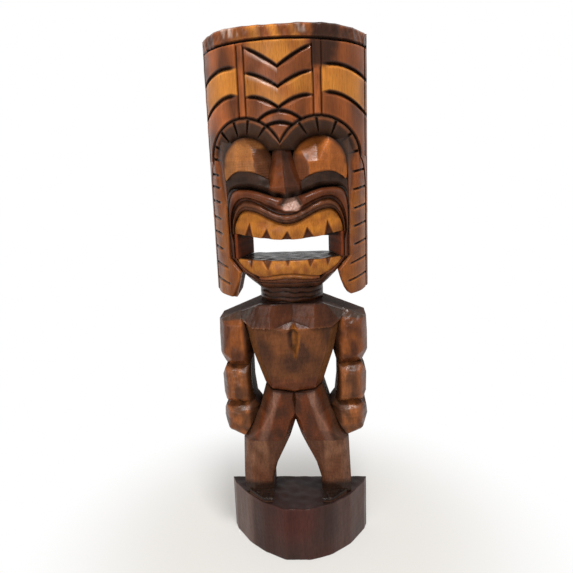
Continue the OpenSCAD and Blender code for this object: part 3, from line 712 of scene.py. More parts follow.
EYE_SEATS = {
    1: [(13, 391), (31, 389), (50, 391), (16, 408), (33, 406), (50, 406)],
    -1: [(14, 386), (16, 403), (33, 389), (50, 391), (34, 406), (49, 407), (25, 416)],
}
for hand, node in both("eye"):
    u, v = 0.5 - 0.49 * np.cos(np.pi * steps(75)), steps(34)
    around = eye_rim(np.linspace(-60, 260, 1281))
    seen = around[around[:, 1] > lid_line(around[:, 0], hand)][::-1]
    low, high = graph(lambda x: lid_line(x, hand), seen[0, 0], seen[-1, 0])(u), line(*seen)(u)
    x = low[None, :, 0] * (1 - v[:, None]) + high[None, :, 0] * v[:, None]
    z = low[None, :, 1] * (1 - v[:, None]) + high[None, :, 1] * v[:, None]
    y, which = cuts_on(x, z, eye_bowl, EYE_SEATS[hand], 80 + hand, 0.25)
    if hand > 0:
        chop = eye_bowl(16, 406) + 0.08 * (x - 16) + 0.66 * (z - 406) - 0.45 * np.clip(x - 31, 0, None)
        y = np.maximum(y, chop)
    y = y + 0.12 * waver(x, z, 9, 82 + hand) + 1.2 * near(v[:, None], 0.05) ** 2
    y = y + (0.05 if hand > 0 else 0.09) * np.sin(z * 2.9 + 0.5 * waver(x, z, 12, 83))
    tone = np.random.default_rng(84 + hand).uniform(-0.14, 0.14, 12)[which]
    border = 23.5 if hand > 0 else 26.5
    brown_top = 404 if hand > 0 else 410
    brown = ease(border + 1.2 * waver(x, z, 8, 86) - x, 1.6) * ease(brown_top - z, 3)
    stain = coats(
        np.multiply(HONEY, (0.5, 0.4, 0.5) if hand > 0 else (0.5, 0.52, 0.9)),
        (CHESTNUT, 0.22 + tone + 0.15 * waver(x, z, 12, 88)),
        (np.multiply(WALNUT, 0.6 if hand < 0 else 1.0), 0.9 * brown))
    # Painted shade darkens the upper edge of the eye, where it sinks under the brow.
    rim = np.clip((np.hypot(x - eye_x, z - eye_z) - eye_r + 3.4) / 3.4, 0, 1) * ease(z - 388, 8)
    stain = mixed(stain, CHOCOLATE, 0.85 * rim ** 1.5)
    seated(node, "wood_orange", x, z, y, stain_and_shade_in_hollows(stain, blur(y, 2), pale=0.6), CHOCOLATE, hand)

for hand, node in both("lower_lid"):
    x0, x1 = 14.0, lip_reach[0] - 0.15
    lid_top = lambda x: lid_line(x, hand)
    u = 1 - (1 - steps(62)) ** 1.6
    x, z = between(graph(lambda x: lip_z(0, x), x0, x1), graph(lid_top, x0, x1), u, steps(20))
    t = steps(20)[:, None] + 0 * x
    under = near(t, 0.45)
    y = log_y(x) + 3.6 + 1.6 * (1 - t) + 8.5 * under ** 1.6
    y = np.minimum(y + 2.0 * ease(24 - x, 10), -2.6) + 0.25 * waver(x, z, 8, 90 + hand)
    # The lower part of the lid, over the lip, is painted darker as shade.
    stain = coats(
        (0.045, 0.022, 0.014),
        ((0.028, 0.014, 0.009), 0.5 + 0.5 * waver(x, z, 12, 92 + hand)),
        ((0.012, 0.007, 0.005), ease(0.3 - t, 0.25)))
    seated(node, "wood_dark", x, z, y, stain_and_shade_in_hollows(stain, y, dark=0.4), SOOT, hand)

# ---- Nose ----
# A wedge left standing between the eyes. It widens and rises from the brow down to the
# tip, with two main flats that meet along the middle and wings cut under towards the lip.
tip_floor_z = float(lip_z(0, 0.0))
WING_Z = tip_floor_z + 10


NOSE_WIDTHS = [(0, 7.9), (8, 9.5), (16, 12), (25, 17.8), (31, 20.3), (36, 19), (41, 13)]


def nose_half(z):
    """Half the width of the nose, which is narrow at the brow and broad over the wings."""
    return np.interp(bridge_z - z, *zip(*NOSE_WIDTHS))


u, v = np.linspace(-1, 1, 61), steps(bridge_z - tip_floor_z, 0.5)
level = tip_floor_z + v[:, None] * (bridge_z - tip_floor_z)
x = u[None, :] * nose_half(level)
z = level + (lip_z(0, x) - tip_floor_z) * (1 - v[:, None]) ** 3
rise = np.clip((z - WING_Z) / (bridge_z - WING_Z), 0, 1)
ridge = front_y + 1.4 + 8.2 * rise ** 0.9 + 0.04 * np.clip(WING_Z + 1 - z, 0, None) ** 2
flat_half = 12.0 - 8.5 * rise ** 0.7
y = ridge + (0.3 + 0.14 * (x > 0)) * np.abs(x) + 0.75 * np.clip(np.abs(x) - flat_half, 0, None)
y = y + 0.8 * bar(x - 0.4, 1.1) * ease(WING_Z + 26 - z, 10)
y = y + 4.0 * np.exp(-((np.abs(x) - 6.5) / 3.2) ** 2 - ((z - tip_floor_z - 1.5) / 3.0) ** 2)
y = y + 0.25 * waver(x, z, 10, 100)
# The right flank is painted darker as shade, a lit patch is painted on the left wing, and a painted shadow
# lies under the tip.
stain = coats(
    (0.11, 0.028, 0.008),
    ((0.035, 0.012, 0.006), ease(x + 1, 3) * 0.8 + 0.2 * rise),
    ((0.085, 0.022, 0.007), 0.8 * ease(x - flat_half + 1, 4)),
    (CHOCOLATE, 0.7 * ease(-x - flat_half - 1, 4) + 0.6 * ease(rise - 0.86, 0.14)),
    ((0.16, 0.042, 0.01), 0.7 * np.exp(-((x + 8) / 4.5) ** 2 - ((z - WING_Z - 4) / 10) ** 2)),
    (SOOT, 0.85 * bar(x - 0.4, 1.0) * ease(WING_Z + 22 - z, 14)),
    (SOOT, 0.95 * ease(tip_floor_z + 5.5 - z + 0.22 * np.abs(x), 3.5)))
seated("nose", "wood_red_brown", x, z, y, stain_and_shade_in_hollows(stain, y), CHOCOLATE)

# ---- Lips and teeth ----
# Two rounded ridges follow the wide wave of the mouth, one inside the other. The gums under
# and over the opening are bare honey wood, and the teeth are made by short triangular
# notches chopped into them. The opening is sawn right through to the back.
mouth_half = lip_reach[2]
floor_z, ceiling_z = jaw_hi.z, corners("upper_teeth")[0].z


def lip_line(level, foot):
    """One lip line from its left end to its right end, with its ends carried down to a foot."""
    def at(t):
        t = np.asarray(t, float)
        wave_x = lip_reach[level] * np.sin(np.pi * (np.clip((t - 0.1) / 0.8, 0, 1) - 0.5))
        wave = np.stack([wave_x, lip_z(level, wave_x)], -1)
        down = np.clip(np.abs(t - 0.5) / 0.1 - 4, 0, 1)
        wave[..., 1] -= down * (lip_foot_z - foot[1])
        wave[..., 0] += np.sign(t - 0.5) * ease(down * 2.2) * (foot[0] - lip_reach[level])
        return wave
    return at


u, v = steps(190), steps(10.5, 0.42)
lower, upper = lip_line(1, (mouth_half, floor_z)), lip_line(0, (lip_reach[0], floor_z))
x, z = between(lower, upper, u, v)
t = 1 - v[:, None] + 0 * x
thin = ease(lip_foot_z + 16 - z, 22)
cut = 1.1 + (4.6 - 1.5 * thin) * np.abs(2 * np.clip(t * 1.12, 0, 1) - 1) ** 2.3 + 1.3 * bar(t - 0.78, 0.09)
cut = cut + 1.6 * thin + 0.4 * waver(x, z, 12, 110) + 1.1 * np.exp(-(x / 6) ** 2) * (t < 0.7)
y = log_y(x, cut)
dint = ease(12.5 - np.abs(x - 4) - 0.6 * np.abs(z - 359), 5) * ease(z - 352, 2.5)
y = y + dint * (np.minimum(-27.6 + 0.78 * (z - 353), -17) + 0.16 * waver(x, z, 2.6, 111) - y)
# The pale patch on the dint under the nose is a painted highlight.
stain = coats(
    (0.12, 0.033, 0.011),
    ((0.055, 0.014, 0.005), 0.5 + 0.6 * waver(x, z, 22, 112)),
    ((0.42, 0.24, 0.18), 0.8 * dint ** 2),
    (CHOCOLATE, 0.55 * thin),
    (SOOT, np.clip(0.75 * bar(t - 0.78, 0.07) + ease(t - 0.92, 0.08) + 0.8 * ease(0.06 - t, 0.06),
                   0, 0.9)))
seated("outer_lip", "wood_red_brown", x, z, y, stain_and_shade_in_hollows(stain, y), CHOCOLATE)

lower, upper = lip_line(2, (mouth_half, lip_foot_z - 0.5)), lip_line(1, (lip_reach[1], lip_foot_z - 0.5))
x, z = between(lower, upper, steps(160), v)
t = 1 - v[:, None] + 0 * x
cut = 2.1 + 4.2 * np.abs(2 * t - 1) ** 2 + 0.9 * t + 0.35 * waver(x, z, 11, 114) + 0.8 * bar(t - 0.6, 0.1)
y = log_y(x, cut)
stain = coats(
    (0.10, 0.032, 0.012),
    (CHOCOLATE, 0.25 + 0.35 * waver(x, z, 18, 116) + 0.75 * ease(t - 0.55, 0.3)),
    (SOOT, np.clip(ease(t - 0.93, 0.07) + 0.9 * ease(0.07 - t, 0.07), 0, 0.9)))
seated("inner_lip", "wood_red_brown", x, z, y, stain_and_shade_in_hollows(stain, y), CHOCOLATE)


def crowded(length, pitch=HEAD_PITCH):
    """Steps from 0 to 1 that crowd together at both ends."""
    return 0.5 - 0.5 * np.cos(np.pi * steps(length, pitch))


def frame_edge(x, cells, ends=True):
    """A grid that is 1 on the sides of a piece, and on its ends if asked, and 0 farther in."""
    rows, cols = x.shape
    i = np.minimum(np.arange(rows), np.arange(rows)[::-1])[:, None] + (0 if ends else rows)
    j = np.minimum(np.arange(cols), np.arange(cols)[::-1])[None, :]
    return near(np.minimum(i, j), cells)


def teeth(x, z, edge, up, notches):
    """Triangular notches between the teeth: each has a place, a half width and a height."""
    pit = 0
    for place, half, tall in notches:
        rise = up * (z - edge)
        lean = 0.25 * np.sign(place) * rise
        room = half * (1 - rise / tall) - np.abs(x - place + lean * 0.4)
        pit = np.maximum(pit, np.clip(room * 1.1, 0, 3.0) * (rise > -3))
    return pit


gum_half = mouth_half - 0.3


def upper_edge(x):
    return np.minimum(lip_foot_z - 0.6, ceiling_z + 5.4 * (np.abs(x) / mouth_half) ** 1.8)


x, z = between(graph(upper_edge, -gum_half, gum_half), graph(lambda x: lip_z(2, x), -gum_half, gum_half),
               crowded(2.4 * gum_half, 0.6), steps(20, 0.5))
UPPER_NOTCHES = ((-36, 4.2, 14), (-19.5, 5.2, 10), (-1, 5.2, 8.6), (18.5, 5.6, 11), (37, 4.4, 14.5))
pit = teeth(x, z, upper_edge(x), 1, UPPER_NOTCHES)
swell = np.clip((z - upper_edge(x)) / 14, 0, 1)
cut = 5.6 - 1.2 * np.sin(np.pi * swell) + pit + 1.4 * near(lip_z(2, x) - z, 2.2)
y = log_y(x, cut + 0.2 * waver(x, z, 10, 120))
stain = coats(
    np.multiply(HONEY, (0.64, 0.6, 0.5)),
    (CHESTNUT, 0.2 + 0.3 * waver(x, z, 12, 122) + 0.2 * ease(np.abs(x) - 40, 8)),
    ((0.085, 0.024, 0.009), 0.97 * np.clip(pit / 0.9, 0, 1)),
    (WALNUT, 0.8 * near(lip_z(2, x) - z, 2.0)))
seated("upper_teeth", "wood_orange", x, z, y, stain_and_shade_in_hollows(stain, blur(y, 1), dark=0.3), SOOT, walls=8)

neck_lo, neck_hi = corners("neck")
neck_half = 29.0
bowl_half = neck_half - 1
BOWL_DROP = 14


def bowl_z(x):
    return floor_z - BOWL_DROP + 1.5 * np.cos(np.pi * np.minimum(np.abs(x), bowl_half) / bowl_half)


def lip_under_z(x):
    return bowl_z(x) - 4.5 * (1 - 0.3 * (x / bowl_half) ** 2)


def leftward(points):
    return [(-px, pz) for px, pz in points]


def both_ways(points):
    """An outline from the left end to the right end, from the points of its right half."""
    return leftward(points)[::-1] + points


def traced(height):
    """The right half of the curve that a height draws over the middle of the bowl, as points."""
    return [(px, float(height(px))) for px in np.arange(21) * bowl_half / 20]


wave = traced(bowl_z)
bowl_side = [(33, floor_z - 13.8), (38, floor_z - 11.5), (42.5, floor_z - 8.2), (46.3, floor_z - 4.4)]
bowl = line(*both_ways(wave + bowl_side + [(gum_half, floor_z - 0.5)]))
x, z = between(bowl, line((-gum_half, floor_z), (gum_half, floor_z)), crowded(120, 0.55), steps(14, 0.45))
LOWER_NOTCHES = ((-36, 3.4, 9.5), (-20, 5.2, 10), (-1, 2.8, 6), (20, 3.6, 8.5), (36, 3.2, 8.5))
pit = teeth(x, z, floor_z + 0 * x, -1, LOWER_NOTCHES)
down = np.clip((floor_z - z) / 14, 0, 1)
cut = 7.4 - 1.4 * np.sin(np.pi * down) + 0.8 * pit + 1.0 * ease(1.2 - (floor_z - z), 1.2)
y = log_y(x, cut + 0.25 * waver(x, z, 9, 124))
stain = coats(
    np.multiply(HONEY, 0.62),
    (CHESTNUT, 0.3 + 0.3 * waver(x, z, 12, 126)),
    ((0.07, 0.02, 0.01), 0.85 * np.clip(pit / 1.1, 0, 1)),
    (WALNUT, 0.8 * frame_edge(x, 3) * (z < floor_z - 1)),
    (SOOT, 0.8 * ease(1.0 - (floor_z - z), 1.0)))


def chop_floor(points):
    """Leaves shallow gouge marks on the floor of the mouth."""
    level = np.abs(points[:, 2] - floor_z) < 0.05
    points[:, 2] -= level * (0.35 + 0.3 * waver(points[:, 0], points[:, 1], 12, 128))
    return points


seated("lower_teeth", "wood_orange", x, z, y, stain_and_shade_in_hollows(stain, blur(y, 1), dark=0.3), SOOT, walls=24,
       touch=chop_floor, varnish=(1, 1))

under = traced(lip_under_z)
v = steps(4.5, 0.3)
x, z = between(line(*both_ways(under)), line(*both_ways(wave)), steps(2 * bowl_half), v)
t = v[:, None] + 0 * x
cut = 4.2 + 3.2 * np.abs(2 * t - 1) ** 2.2 + 1.5 * ease(np.abs(x) - 20, 8) + 0.3 * waver(x, z, 12, 130)
y = log_y(x, cut)
stain = coats(
    np.multiply(HONEY, 0.34),
    (WALNUT, 0.35 + 0.5 * ease(np.abs(x) - 12, 14) + 0.4 * (1 - t)),
    (SOOT, 0.8 * frame_edge(x, 2)))
seated("lower_lip", "wood_tan", x, z, y, stain_and_shade_in_hollows(stain, y), CHOCOLATE)

outer = line(*both_ways([(0, jaw_lo.z), (neck_half, jaw_lo.z), (neck_half + 7, jaw_lo.z + 7),
                         (face_half - 7, floor_z - 6), (lip_reach[0], floor_z)]))
inner = line(*both_ways(under + bowl_side + [(gum_half, floor_z)]))
v = steps(10, 0.4)
x, z = between(outer, inner, steps(130), v)
t = v[:, None] + 0 * x
drop = np.clip((floor_z - 12 - z) / 16, 0, 1)
crease = z - jaw_lo.z - 5.2
cut = 4.4 + 2.2 * (1 - t) ** 3 * ease(np.abs(x) - 24, 8) + 2.2 * ease(t - 0.8, 0.2)
cut = cut + 15.5 * drop ** 1.25 + 1.1 * bar(crease, 1.1) * (np.abs(x) < 30)
y = log_y(x, cut + 0.3 * waver(x, z, 14, 132))
stain = coats(
    (0.11, 0.038, 0.018),
    (CHOCOLATE, 0.35 + 0.4 * drop + 0.3 * waver(x, z, 15, 134)),
    (SOOT, 0.8 * bar(crease, 1.0) * (np.abs(x) < 30)))
seated("chin", "wood_red_brown", x, z, y, stain_and_shade_in_hollows(stain, y), CHOCOLATE)

for hand, node in both("cheek"):
    cheek_lo, cheek_hi = corners("right_cheek")
    u, v = steps(cheek_hi.x - cheek_lo.x, 0.35), steps(ceiling_z - floor_z)
    x = cheek_lo.x + 0.3 + u[None, :] * (cheek_hi.x - cheek_lo.x - 0.3) + 0 * v[:, None]
    z = floor_z + v[:, None] * (ceiling_z + 4 - floor_z) + 0 * x
    run = np.clip((x - cheek_lo.x) / (mouth_half - cheek_lo.x), 0, 1)
    y = back_y - (back_y - cheek_lo.y) * run + 14 * ease(x - mouth_half, 0.8)
    y = np.maximum(y, log_y(x, 4.6)) + 0.3 * waver(z, x, 7, 140 + hand)
    # The walls are painted darker deeper into the mouth and along its floor, as shade.
    stain = coats(
        (0.2, 0.042, 0.01),
        ((0.07, 0.018, 0.007), 0.4 * waver(x, z, 9, 142) + 1 - run),
        (SOOT, 0.6 * near(z - floor_z, 2)))
    carve(node, "wood_red_brown", x, z, y, stain, CHOCOLATE, hand, walls=3, varnish=(0, 0))

HIDDEN_PITCH = 0.8
jaw_side = [(neck_half, jaw_lo.z), (neck_half + 7, jaw_lo.z + 7), LAPPET_ROOT,
            (face_half - 6, floor_z - 6), (face_half - 0.05, floor_z)]
x, z = patch(line((-neck_half, jaw_lo.z), (neck_half, jaw_lo.z)),
             line((-face_half, floor_z), (face_half, floor_z)),
             line(*leftward(jaw_side)), line(*jaw_side),
             steps(2 * face_half, HIDDEN_PITCH), steps(40, HIDDEN_PITCH))
carve("jaw", "wood_red_brown", x, z, 0 * x, mixed(CHOCOLATE, CHOCOLATE, 0 * x), SOOT, walls=30,
      touch=chop_floor, varnish=(1, 1))

skull_z = corners("skull")[0].z
top_line = line(*[(px, float(brow_top(px)) - 0.05) for px in np.linspace(-face_half, face_half, 121)])
x, z = patch(line((-face_half, skull_z), (face_half, skull_z)), top_line,
             line((-face_half, skull_z), (-face_half, float(brow_top(face_half)))),
             line((face_half, skull_z), (face_half, float(brow_top(face_half)))),
             steps(2 * face_half, HIDDEN_PITCH), steps(100, HIDDEN_PITCH))
# The skull behind the face is painted near black and matte, as the shade seen in the gaps between the face
# pieces.
carve("skull", "wood_red_brown", x, z, 0 * x, mixed(SOOT, SOOT, 0 * x), CHOCOLATE, walls=6, varnish=(0, 0))

# ---- Neck ----
# A short round neck, left in the same log under the head. It is cut into three rings with
# a gouge and stained very dark in the grooves.
neck_r = round_r(neck_half, back_y - neck_lo.y)
neck_axis_y = neck_lo.y + neck_r
ring_h = (neck_hi.z - neck_lo.z) / 3
turn = np.linspace(-1.5, 1.5, 120)
u = (np.sin(turn) / math.sin(1.5) + 1) / 2
x, z = between(line((-neck_r + 0.4, neck_lo.z), (neck_r - 0.4, neck_lo.z)),
               line((-neck_r + 0.4, neck_hi.z), (neck_r - 0.4, neck_hi.z)), u, steps(15, 0.4))
wobble = 0.9 * waver(x, 0 * x, 34, 150) + 0.5 * waver(x, z, 12, 151)
phase = np.abs(((z - neck_lo.z + wobble) / ring_h) % 1 - 0.5) * 2
cut = (0.9 + 0.5 * waver(x, z, 25, 153)) * phase ** 2.5 + 1.6 * ease(neck_lo.z + 4 - z, 4)
y = neck_axis_y - np.sqrt(np.clip(neck_r ** 2 - x ** 2, 0, None)) + cut + 0.15 * waver(x, z, 7, 152)
stain = mixed((0.042, 0.014, 0.006), (0.012, 0.007, 0.005),
              0.9 * ease(phase - 0.55, 0.4) + 0.2 * waver(x, z, 12, 154))
carve("neck", "wood_red_brown", x, z, y, stain_and_shade_in_hollows(stain, y), CHOCOLATE)

# ---- Torso ----
# A broad chest that tapers to the waist, worked with wide flat chisel cuts. A sloping yoke
# runs across the shoulders, and one long pointed cut parts the chest down the middle.
BODY_PITCH = 0.7
torso_lo, torso_hi = corners("torso")
thigh_lo, thigh_hi = corners("right_thigh")
arm_lo, arm_hi = corners("right_upper_arm")
elbow_z = arm_lo.z
neck_z, hip_low_z = torso_hi.z, torso_lo.z
SHOULDER_DROP = 17
shoulder = (arm_hi.x - 1, neck_z - SHOULDER_DROP)
share = (torso_hi.x - neck_half - 1) / (shoulder[0] - neck_half - 1)
chest_top = (torso_hi.x, neck_z - SHOULDER_DROP * share)
waist = (27.5, thigh_hi.z)
armpit = (torso_hi.x - 10, elbow_z + 13)
low_right = [(0, hip_low_z), (20, hip_low_z + 3.5), waist]
low_line = line(*both_ways(low_right))
high_line = line(*both_ways([(neck_half + 1, neck_z), chest_top]))
side_points = [waist, armpit, chest_top]


def hip_z(x):
    """The height of the line between the torso and the thighs."""
    return np.interp(np.abs(x), *zip(*low_right))


def facets(x, z, planes):
    """Flat cuts, each with a place (x, z), its depth there and its slopes; the deepest cut wins."""
    y = np.full(x.shape, -1e9)
    for px, pz, depth, slope_x, slope_z in planes:
        y = np.maximum(y, depth + slope_x * (x - px) + slope_z * (z - pz))
    return y


x, z = patch(low_line, high_line, line(*leftward(side_points)), line(*side_points),
             crowded(115, BODY_PITCH), steps(88, BODY_PITCH))
yoke_z = neck_z - 22.8 + 0.85 * np.clip(np.abs(x) - 38, 0, None)
side_x = np.interp(z, [waist[1], armpit[1], chest_top[1]], [waist[0], armpit[0], chest_top[0]])
chest = facets(x, z, [
    (0, 243, -21.8, 0, -0.14), (-14, 238, -21.2, -0.1, -0.15), (16, 237, -20.6, 0.13, -0.14),
    (-30, 238, -18.0, -0.24, -0.12), (31, 238, -17.8, 0.26, -0.13), (-18, 200, -15.0, -0.28, -0.12),
    (18, 199, -14.8, 0.3, -0.12), (0, 186, -13.6, 0.0, -0.34)])
strip = -8.0 - 1.15 * (side_x - 3.0 - np.abs(x))
yoke = facets(x, z, [
    (0, 243, -21.6, 0, 0.26), (-26, 243, -20.2, -0.26, 0.26), (27, 243, -20.0, 0.28, 0.26),
    (-48, 252, -12.4, -0.8, 0.62), (50, 254, -12.2, 0.8, 0.6)])
yoke = yoke + 4.6 * bar(x - 1.5, 21)
yoke = np.minimum(yoke, -22.2 + 1.05 * (z - yoke_z) + 0.0035 * x ** 2)
y = np.where(z > yoke_z, yoke, np.maximum(chest, strip))
cut_x = x - 1.7 - 1.4 * ease(226 - z, 14)
SPLIT_WIDTHS = [(210, 0), (226, 6.0), (239, 7.2), (248.5, 0)]
half = np.interp(z, *zip(*SPLIT_WIDTHS))
split = np.clip((half - np.abs(cut_x)) * 0.85, 0, 3.6)
y = y + split + 0.28 * waver(x, z, 16, 160) + 0.12 * waver(x, z, 6, 161)
y = y + 1.8 * near(neck_z + 2 - z, 3.0) * (np.abs(x) < neck_half + 2)
y = y + 1.8 * near(z - hip_z(x), 2.6)
# The bevel strips down the sides of the chest are painted lighter, as light falling on them.
stain = coats(
    (0.14, 0.047, 0.015),
    ((0.055, 0.02, 0.009), 0.5 + 0.75 * waver(x, 0.6 * z, 26, 162)),
    ((0.21, 0.085, 0.032), 0.6 * ease(strip - chest, 1.5) * (z < yoke_z)),
    (mixed((0.062, 0.017, 0.006), (0.035, 0.012, 0.006), ease(np.abs(x) - 16, 22)),
     0.92 * ease(z - yoke_z, 1.5)),
    ((0.10, 0.026, 0.011), 0.7 * ease(196 - z, 12)))
warm = np.clip(split / 1.2, 0, 1)
# The grey laid on the tops of the shoulders is a painted reflection.
stain = coats(
    stain,
    (mixed((0.07, 0.024, 0.01), (0.25, 0.082, 0.014), ease(cut_x + 2.5, 2)), 0.9 * warm),
    (SOOT, 0.7 * frame_edge(x, 2) * (z < yoke_z) + 0.8 * ease(z - neck_z + 2.5, 3)),
    ((0.042, 0.03, 0.024), 0.75 * ease(np.abs(x) - 30 - 0.78 * (268 - z), 1.5) * ease(z - yoke_z, 2)))
carve("torso", "wood_red_brown", x, z, y, stain_and_shade_in_hollows(stain, y), CHOCOLATE)

# ---- Arms ----
# Each arm hangs down in three bulges, an upper arm, a forearm and a fist that rests on the
# thigh. Deep creases part them, and each is faceted with flat knife cuts.
forearm_lo, forearm_hi = corners("right_forearm")
hand_z = corners("right_hand")[0].z
wrist_z, knee_z = forearm_lo.z, thigh_lo.z
arm_x, arm_in = arm_hi.x, arm_hi.x - 30
touch_point = (waist[0] + 8, wrist_z - 7)
knee_out = (thigh_hi.x, knee_z)
rest = (touch_point[1] - hand_z) / (touch_point[1] - knee_z)
hand_low = (touch_point[0] + (knee_out[0] - touch_point[0]) * rest, hand_z)
ARM_SHAPES = {
    "upper_arm": (
        line((arm_in, elbow_z), (arm_x - 6, elbow_z)), line(chest_top, shoulder),
        line((arm_in, elbow_z), armpit, chest_top),
        line((arm_x - 6, elbow_z), (arm_x, elbow_z + 12), (arm_x, shoulder[1] - 16), shoulder)),
    "forearm": (
        line((arm_in - 2, wrist_z), (arm_x - 7, wrist_z)), line((arm_in, elbow_z), (arm_x - 6, elbow_z)),
        line((arm_in - 2, wrist_z), (arm_in, wrist_z + 18), (arm_in, elbow_z)),
        line((arm_x - 7, wrist_z), (arm_x - 1.5, wrist_z + 9), (arm_x - 1, elbow_z - 12),
             (arm_x - 6, elbow_z))),
    "hand": (
        line(hand_low, (arm_x - 7, hand_z + 5)), line((arm_in - 2, wrist_z), (arm_x - 7, wrist_z)),
        line(hand_low, touch_point, (arm_in - 2, wrist_z)),
        line((arm_x - 7, hand_z + 5), (arm_x, wrist_z - 17), (arm_x - 1, wrist_z - 8),
             (arm_x - 7, wrist_z))),
}
mid_x = arm_in + 14
ARM_CUTS = {
    "upper_arm": [
        (mid_x, elbow_z + 34, -11.6, 0.03, -0.02), (mid_x + 3.5, elbow_z + 30, -11.2, 0.42, -0.03),
        (arm_x - 3, elbow_z + 25, -3.5, 1.6, 0), (arm_in + 5, elbow_z + 25, -11, -0.5, 0.02),
        (arm_in + 2, elbow_z + 6, -5.5, -1.5, -0.25), (mid_x, elbow_z + 13, -11.2, 0.1, -0.3),
        (mid_x, elbow_z + 3, -5.5, 0.15, -1.2), (arm_x - 6, elbow_z + 7, -2.5, 1.0, -0.9),
        (mid_x, shoulder[1] - 4, -11.5, 0.15, 0.8)],
    "forearm": [
        (mid_x, wrist_z + 20, -11.4, 0.03, 0.02), (mid_x + 7, wrist_z + 20, -10.2, 0.5, 0),
        (arm_x - 3, wrist_z + 20, -2.5, 1.6, 0), (arm_in + 6, wrist_z + 20, -11, -0.4, 0),
        (arm_in + 2.5, wrist_z + 20, -8, -2.0, 0), (mid_x, wrist_z + 32.5, -11, -0.05, 1.05),
        (mid_x, wrist_z + 37, -6.2, 0.08, 1.7), (mid_x, wrist_z + 10, -10.6, 0.05, -0.42),
        (mid_x, wrist_z + 3, -6, 0.1, -1.4)],
    "hand": [
        (mid_x, wrist_z - 18, -11.4, 0.04, -0.04), (mid_x + 8, wrist_z - 16, -9.6, 0.5, -0.05),
        (arm_x - 3, wrist_z - 16, -2, 1.6, 0), (mid_x - 12, wrist_z - 16, -10.2, -0.25, 0.02),
        (mid_x - 6, wrist_z - 7.5, -11, -0.1, 1.05), (mid_x, wrist_z - 3, -6, 0.08, 1.7),
        (mid_x, hand_z + 14, -10.8, 0.22, -0.42), (mid_x + 2, hand_z + 5, -5.5, 0.6, -1.2)],
}
ARM_TONES = {
    "upper_arm": ((0.19, 0.055, 0.013), (0.075, 0.023, 0.009)),
    "forearm": ((0.22, 0.072, 0.022), (0.085, 0.032, 0.014)),
    "hand": ((0.22, 0.072, 0.022), (0.09, 0.034, 0.014)),
}
for part, (low, high, inner, outer) in ARM_SHAPES.items():
    for hand, node in both(part):
        tall = {"upper_arm": 50, "forearm": forearm_hi.z - wrist_z, "hand": wrist_z - hand_z}[part]
        u = crowded(46, BODY_PITCH)
        v = crowded(1.4 * tall, BODY_PITCH)
        x, z = patch(low, high, inner, outer, u, v)
        seed = 170 + 10 * list(ARM_SHAPES).index(part) + hand
        draw = np.random.default_rng(seed)
        planes = [(px, pz, d + draw.uniform(-0.7, 0.7), sx + draw.uniform(-0.08, 0.08),
                   sz + draw.uniform(-0.06, 0.06)) for px, pz, d, sx, sz in ARM_CUTS[part]]
        y = blur(facets(x, z, planes), 2) + 3.0 * (np.abs(x - mid_x) / 15) ** 4
        y = y + 0.3 * waver(x, z, 12, seed) + 0.12 * waver(x, z, 5, seed + 1)
        warm, cool = ARM_TONES[part]
        # Dark stain with painted shade darkens the inner side of each arm, by the gap, and a painted sheen
        # pales the outer half.
        stain = coats(
            warm,
            (cool, 0.45 + 0.9 * waver(x, 0.6 * z, 14, seed + 2)),
            ((0.03, 0.012, 0.006), 0.9 * ease(arm_in + 6 - x, 5)),
            ((0.13, 0.05, 0.03), 0.3 * ease(x - mid_x - 4, 2)),
            (SOOT, 0.75 * frame_edge(x, 4) * (x < arm_x - 4)))
        if part == "upper_arm":
            # The grey on the top of the shoulder is a painted reflection.
            shoulder_sheen = ease(z - shoulder[1] + 1.5 - 0.1 * (shoulder[0] - x), 1.5)
            stain = mixed(stain, (0.045, 0.03, 0.022), 0.8 * shoulder_sheen)
        carve(node, "wood_tan", x, z, y, stain_and_shade_in_hollows(stain, y), CHOCOLATE, hand)

# ---- Legs and feet ----
# Heavy thighs that meet in the middle lean back into short lower legs, which are painted paler
# as light on that lean, and darker towards the feet. The feet are low blocks with four notches that part
# the toes.
shin_lo, shin_hi = corners("right_shin")
foot_lo, foot_hi = corners("right_foot")
deck_z = shin_lo.z
ankle_z, calf_z = deck_z + 18, deck_z + 36.3
knee_in = (thigh_lo.x + 6, knee_z)
crotch = (0, knee_z + 18)
THIGH_CUTS = [
    (27, 145, -19.4, 0.0, -0.02), (22.5, 145, -19.4, -0.5, -0.155), (31.5, 145, -19.4, 0.5, 0.155),
    (18, 168, -19.0, -0.03, 0.36), (20, 178, -15.2, 0.0, 0.9), (9, 174, -15.0, -0.4, 0.2),
    (30, 125, -13.5, 0.0, -0.42), (42, 125, -12.0, 0.3, -0.3)]
SHIN_CUTS = [
    (38, 125, -13.5, 0.02, -0.16), (29, 125, -13.3, -0.5, -0.17), (44, 125, -12.6, 0.45, -0.14),
    (38, 66, -3.5, 0.0, -0.1)]


def leg_front(x, z, cuts, seed):
    """The flat cuts down the front of a leg, rounded away at its inner and outer side."""
    draw = np.random.default_rng(seed)
    planes = [(px, pz, d, sx + draw.uniform(-0.05, 0.05), sz) for px, pz, d, sx, sz in cuts]
    inner = np.interp(z, [deck_z, ankle_z, calf_z, knee_z, crotch[1]],
                      [in_low[0], in_low[0], in_low[0] - 5, knee_in[0], 0])
    outer = np.interp(z, [ankle_z, knee_z, touch_point[1], waist[1]],
                      [out_low[0], knee_out[0], touch_point[0], waist[0]])
    inside = -9.0 - 1.6 * (x - inner - 4.5) - 8 * ease(z - crotch[1], 12)
    outside = -9.0 + 1.4 * (x - outer + 4.5)
    y = np.maximum(facets(x, z, planes), np.maximum(inside, outside))
    return y + 0.2 * waver(x, z, 14, 202) + 0.1 * waver(x, z, 5, 203)


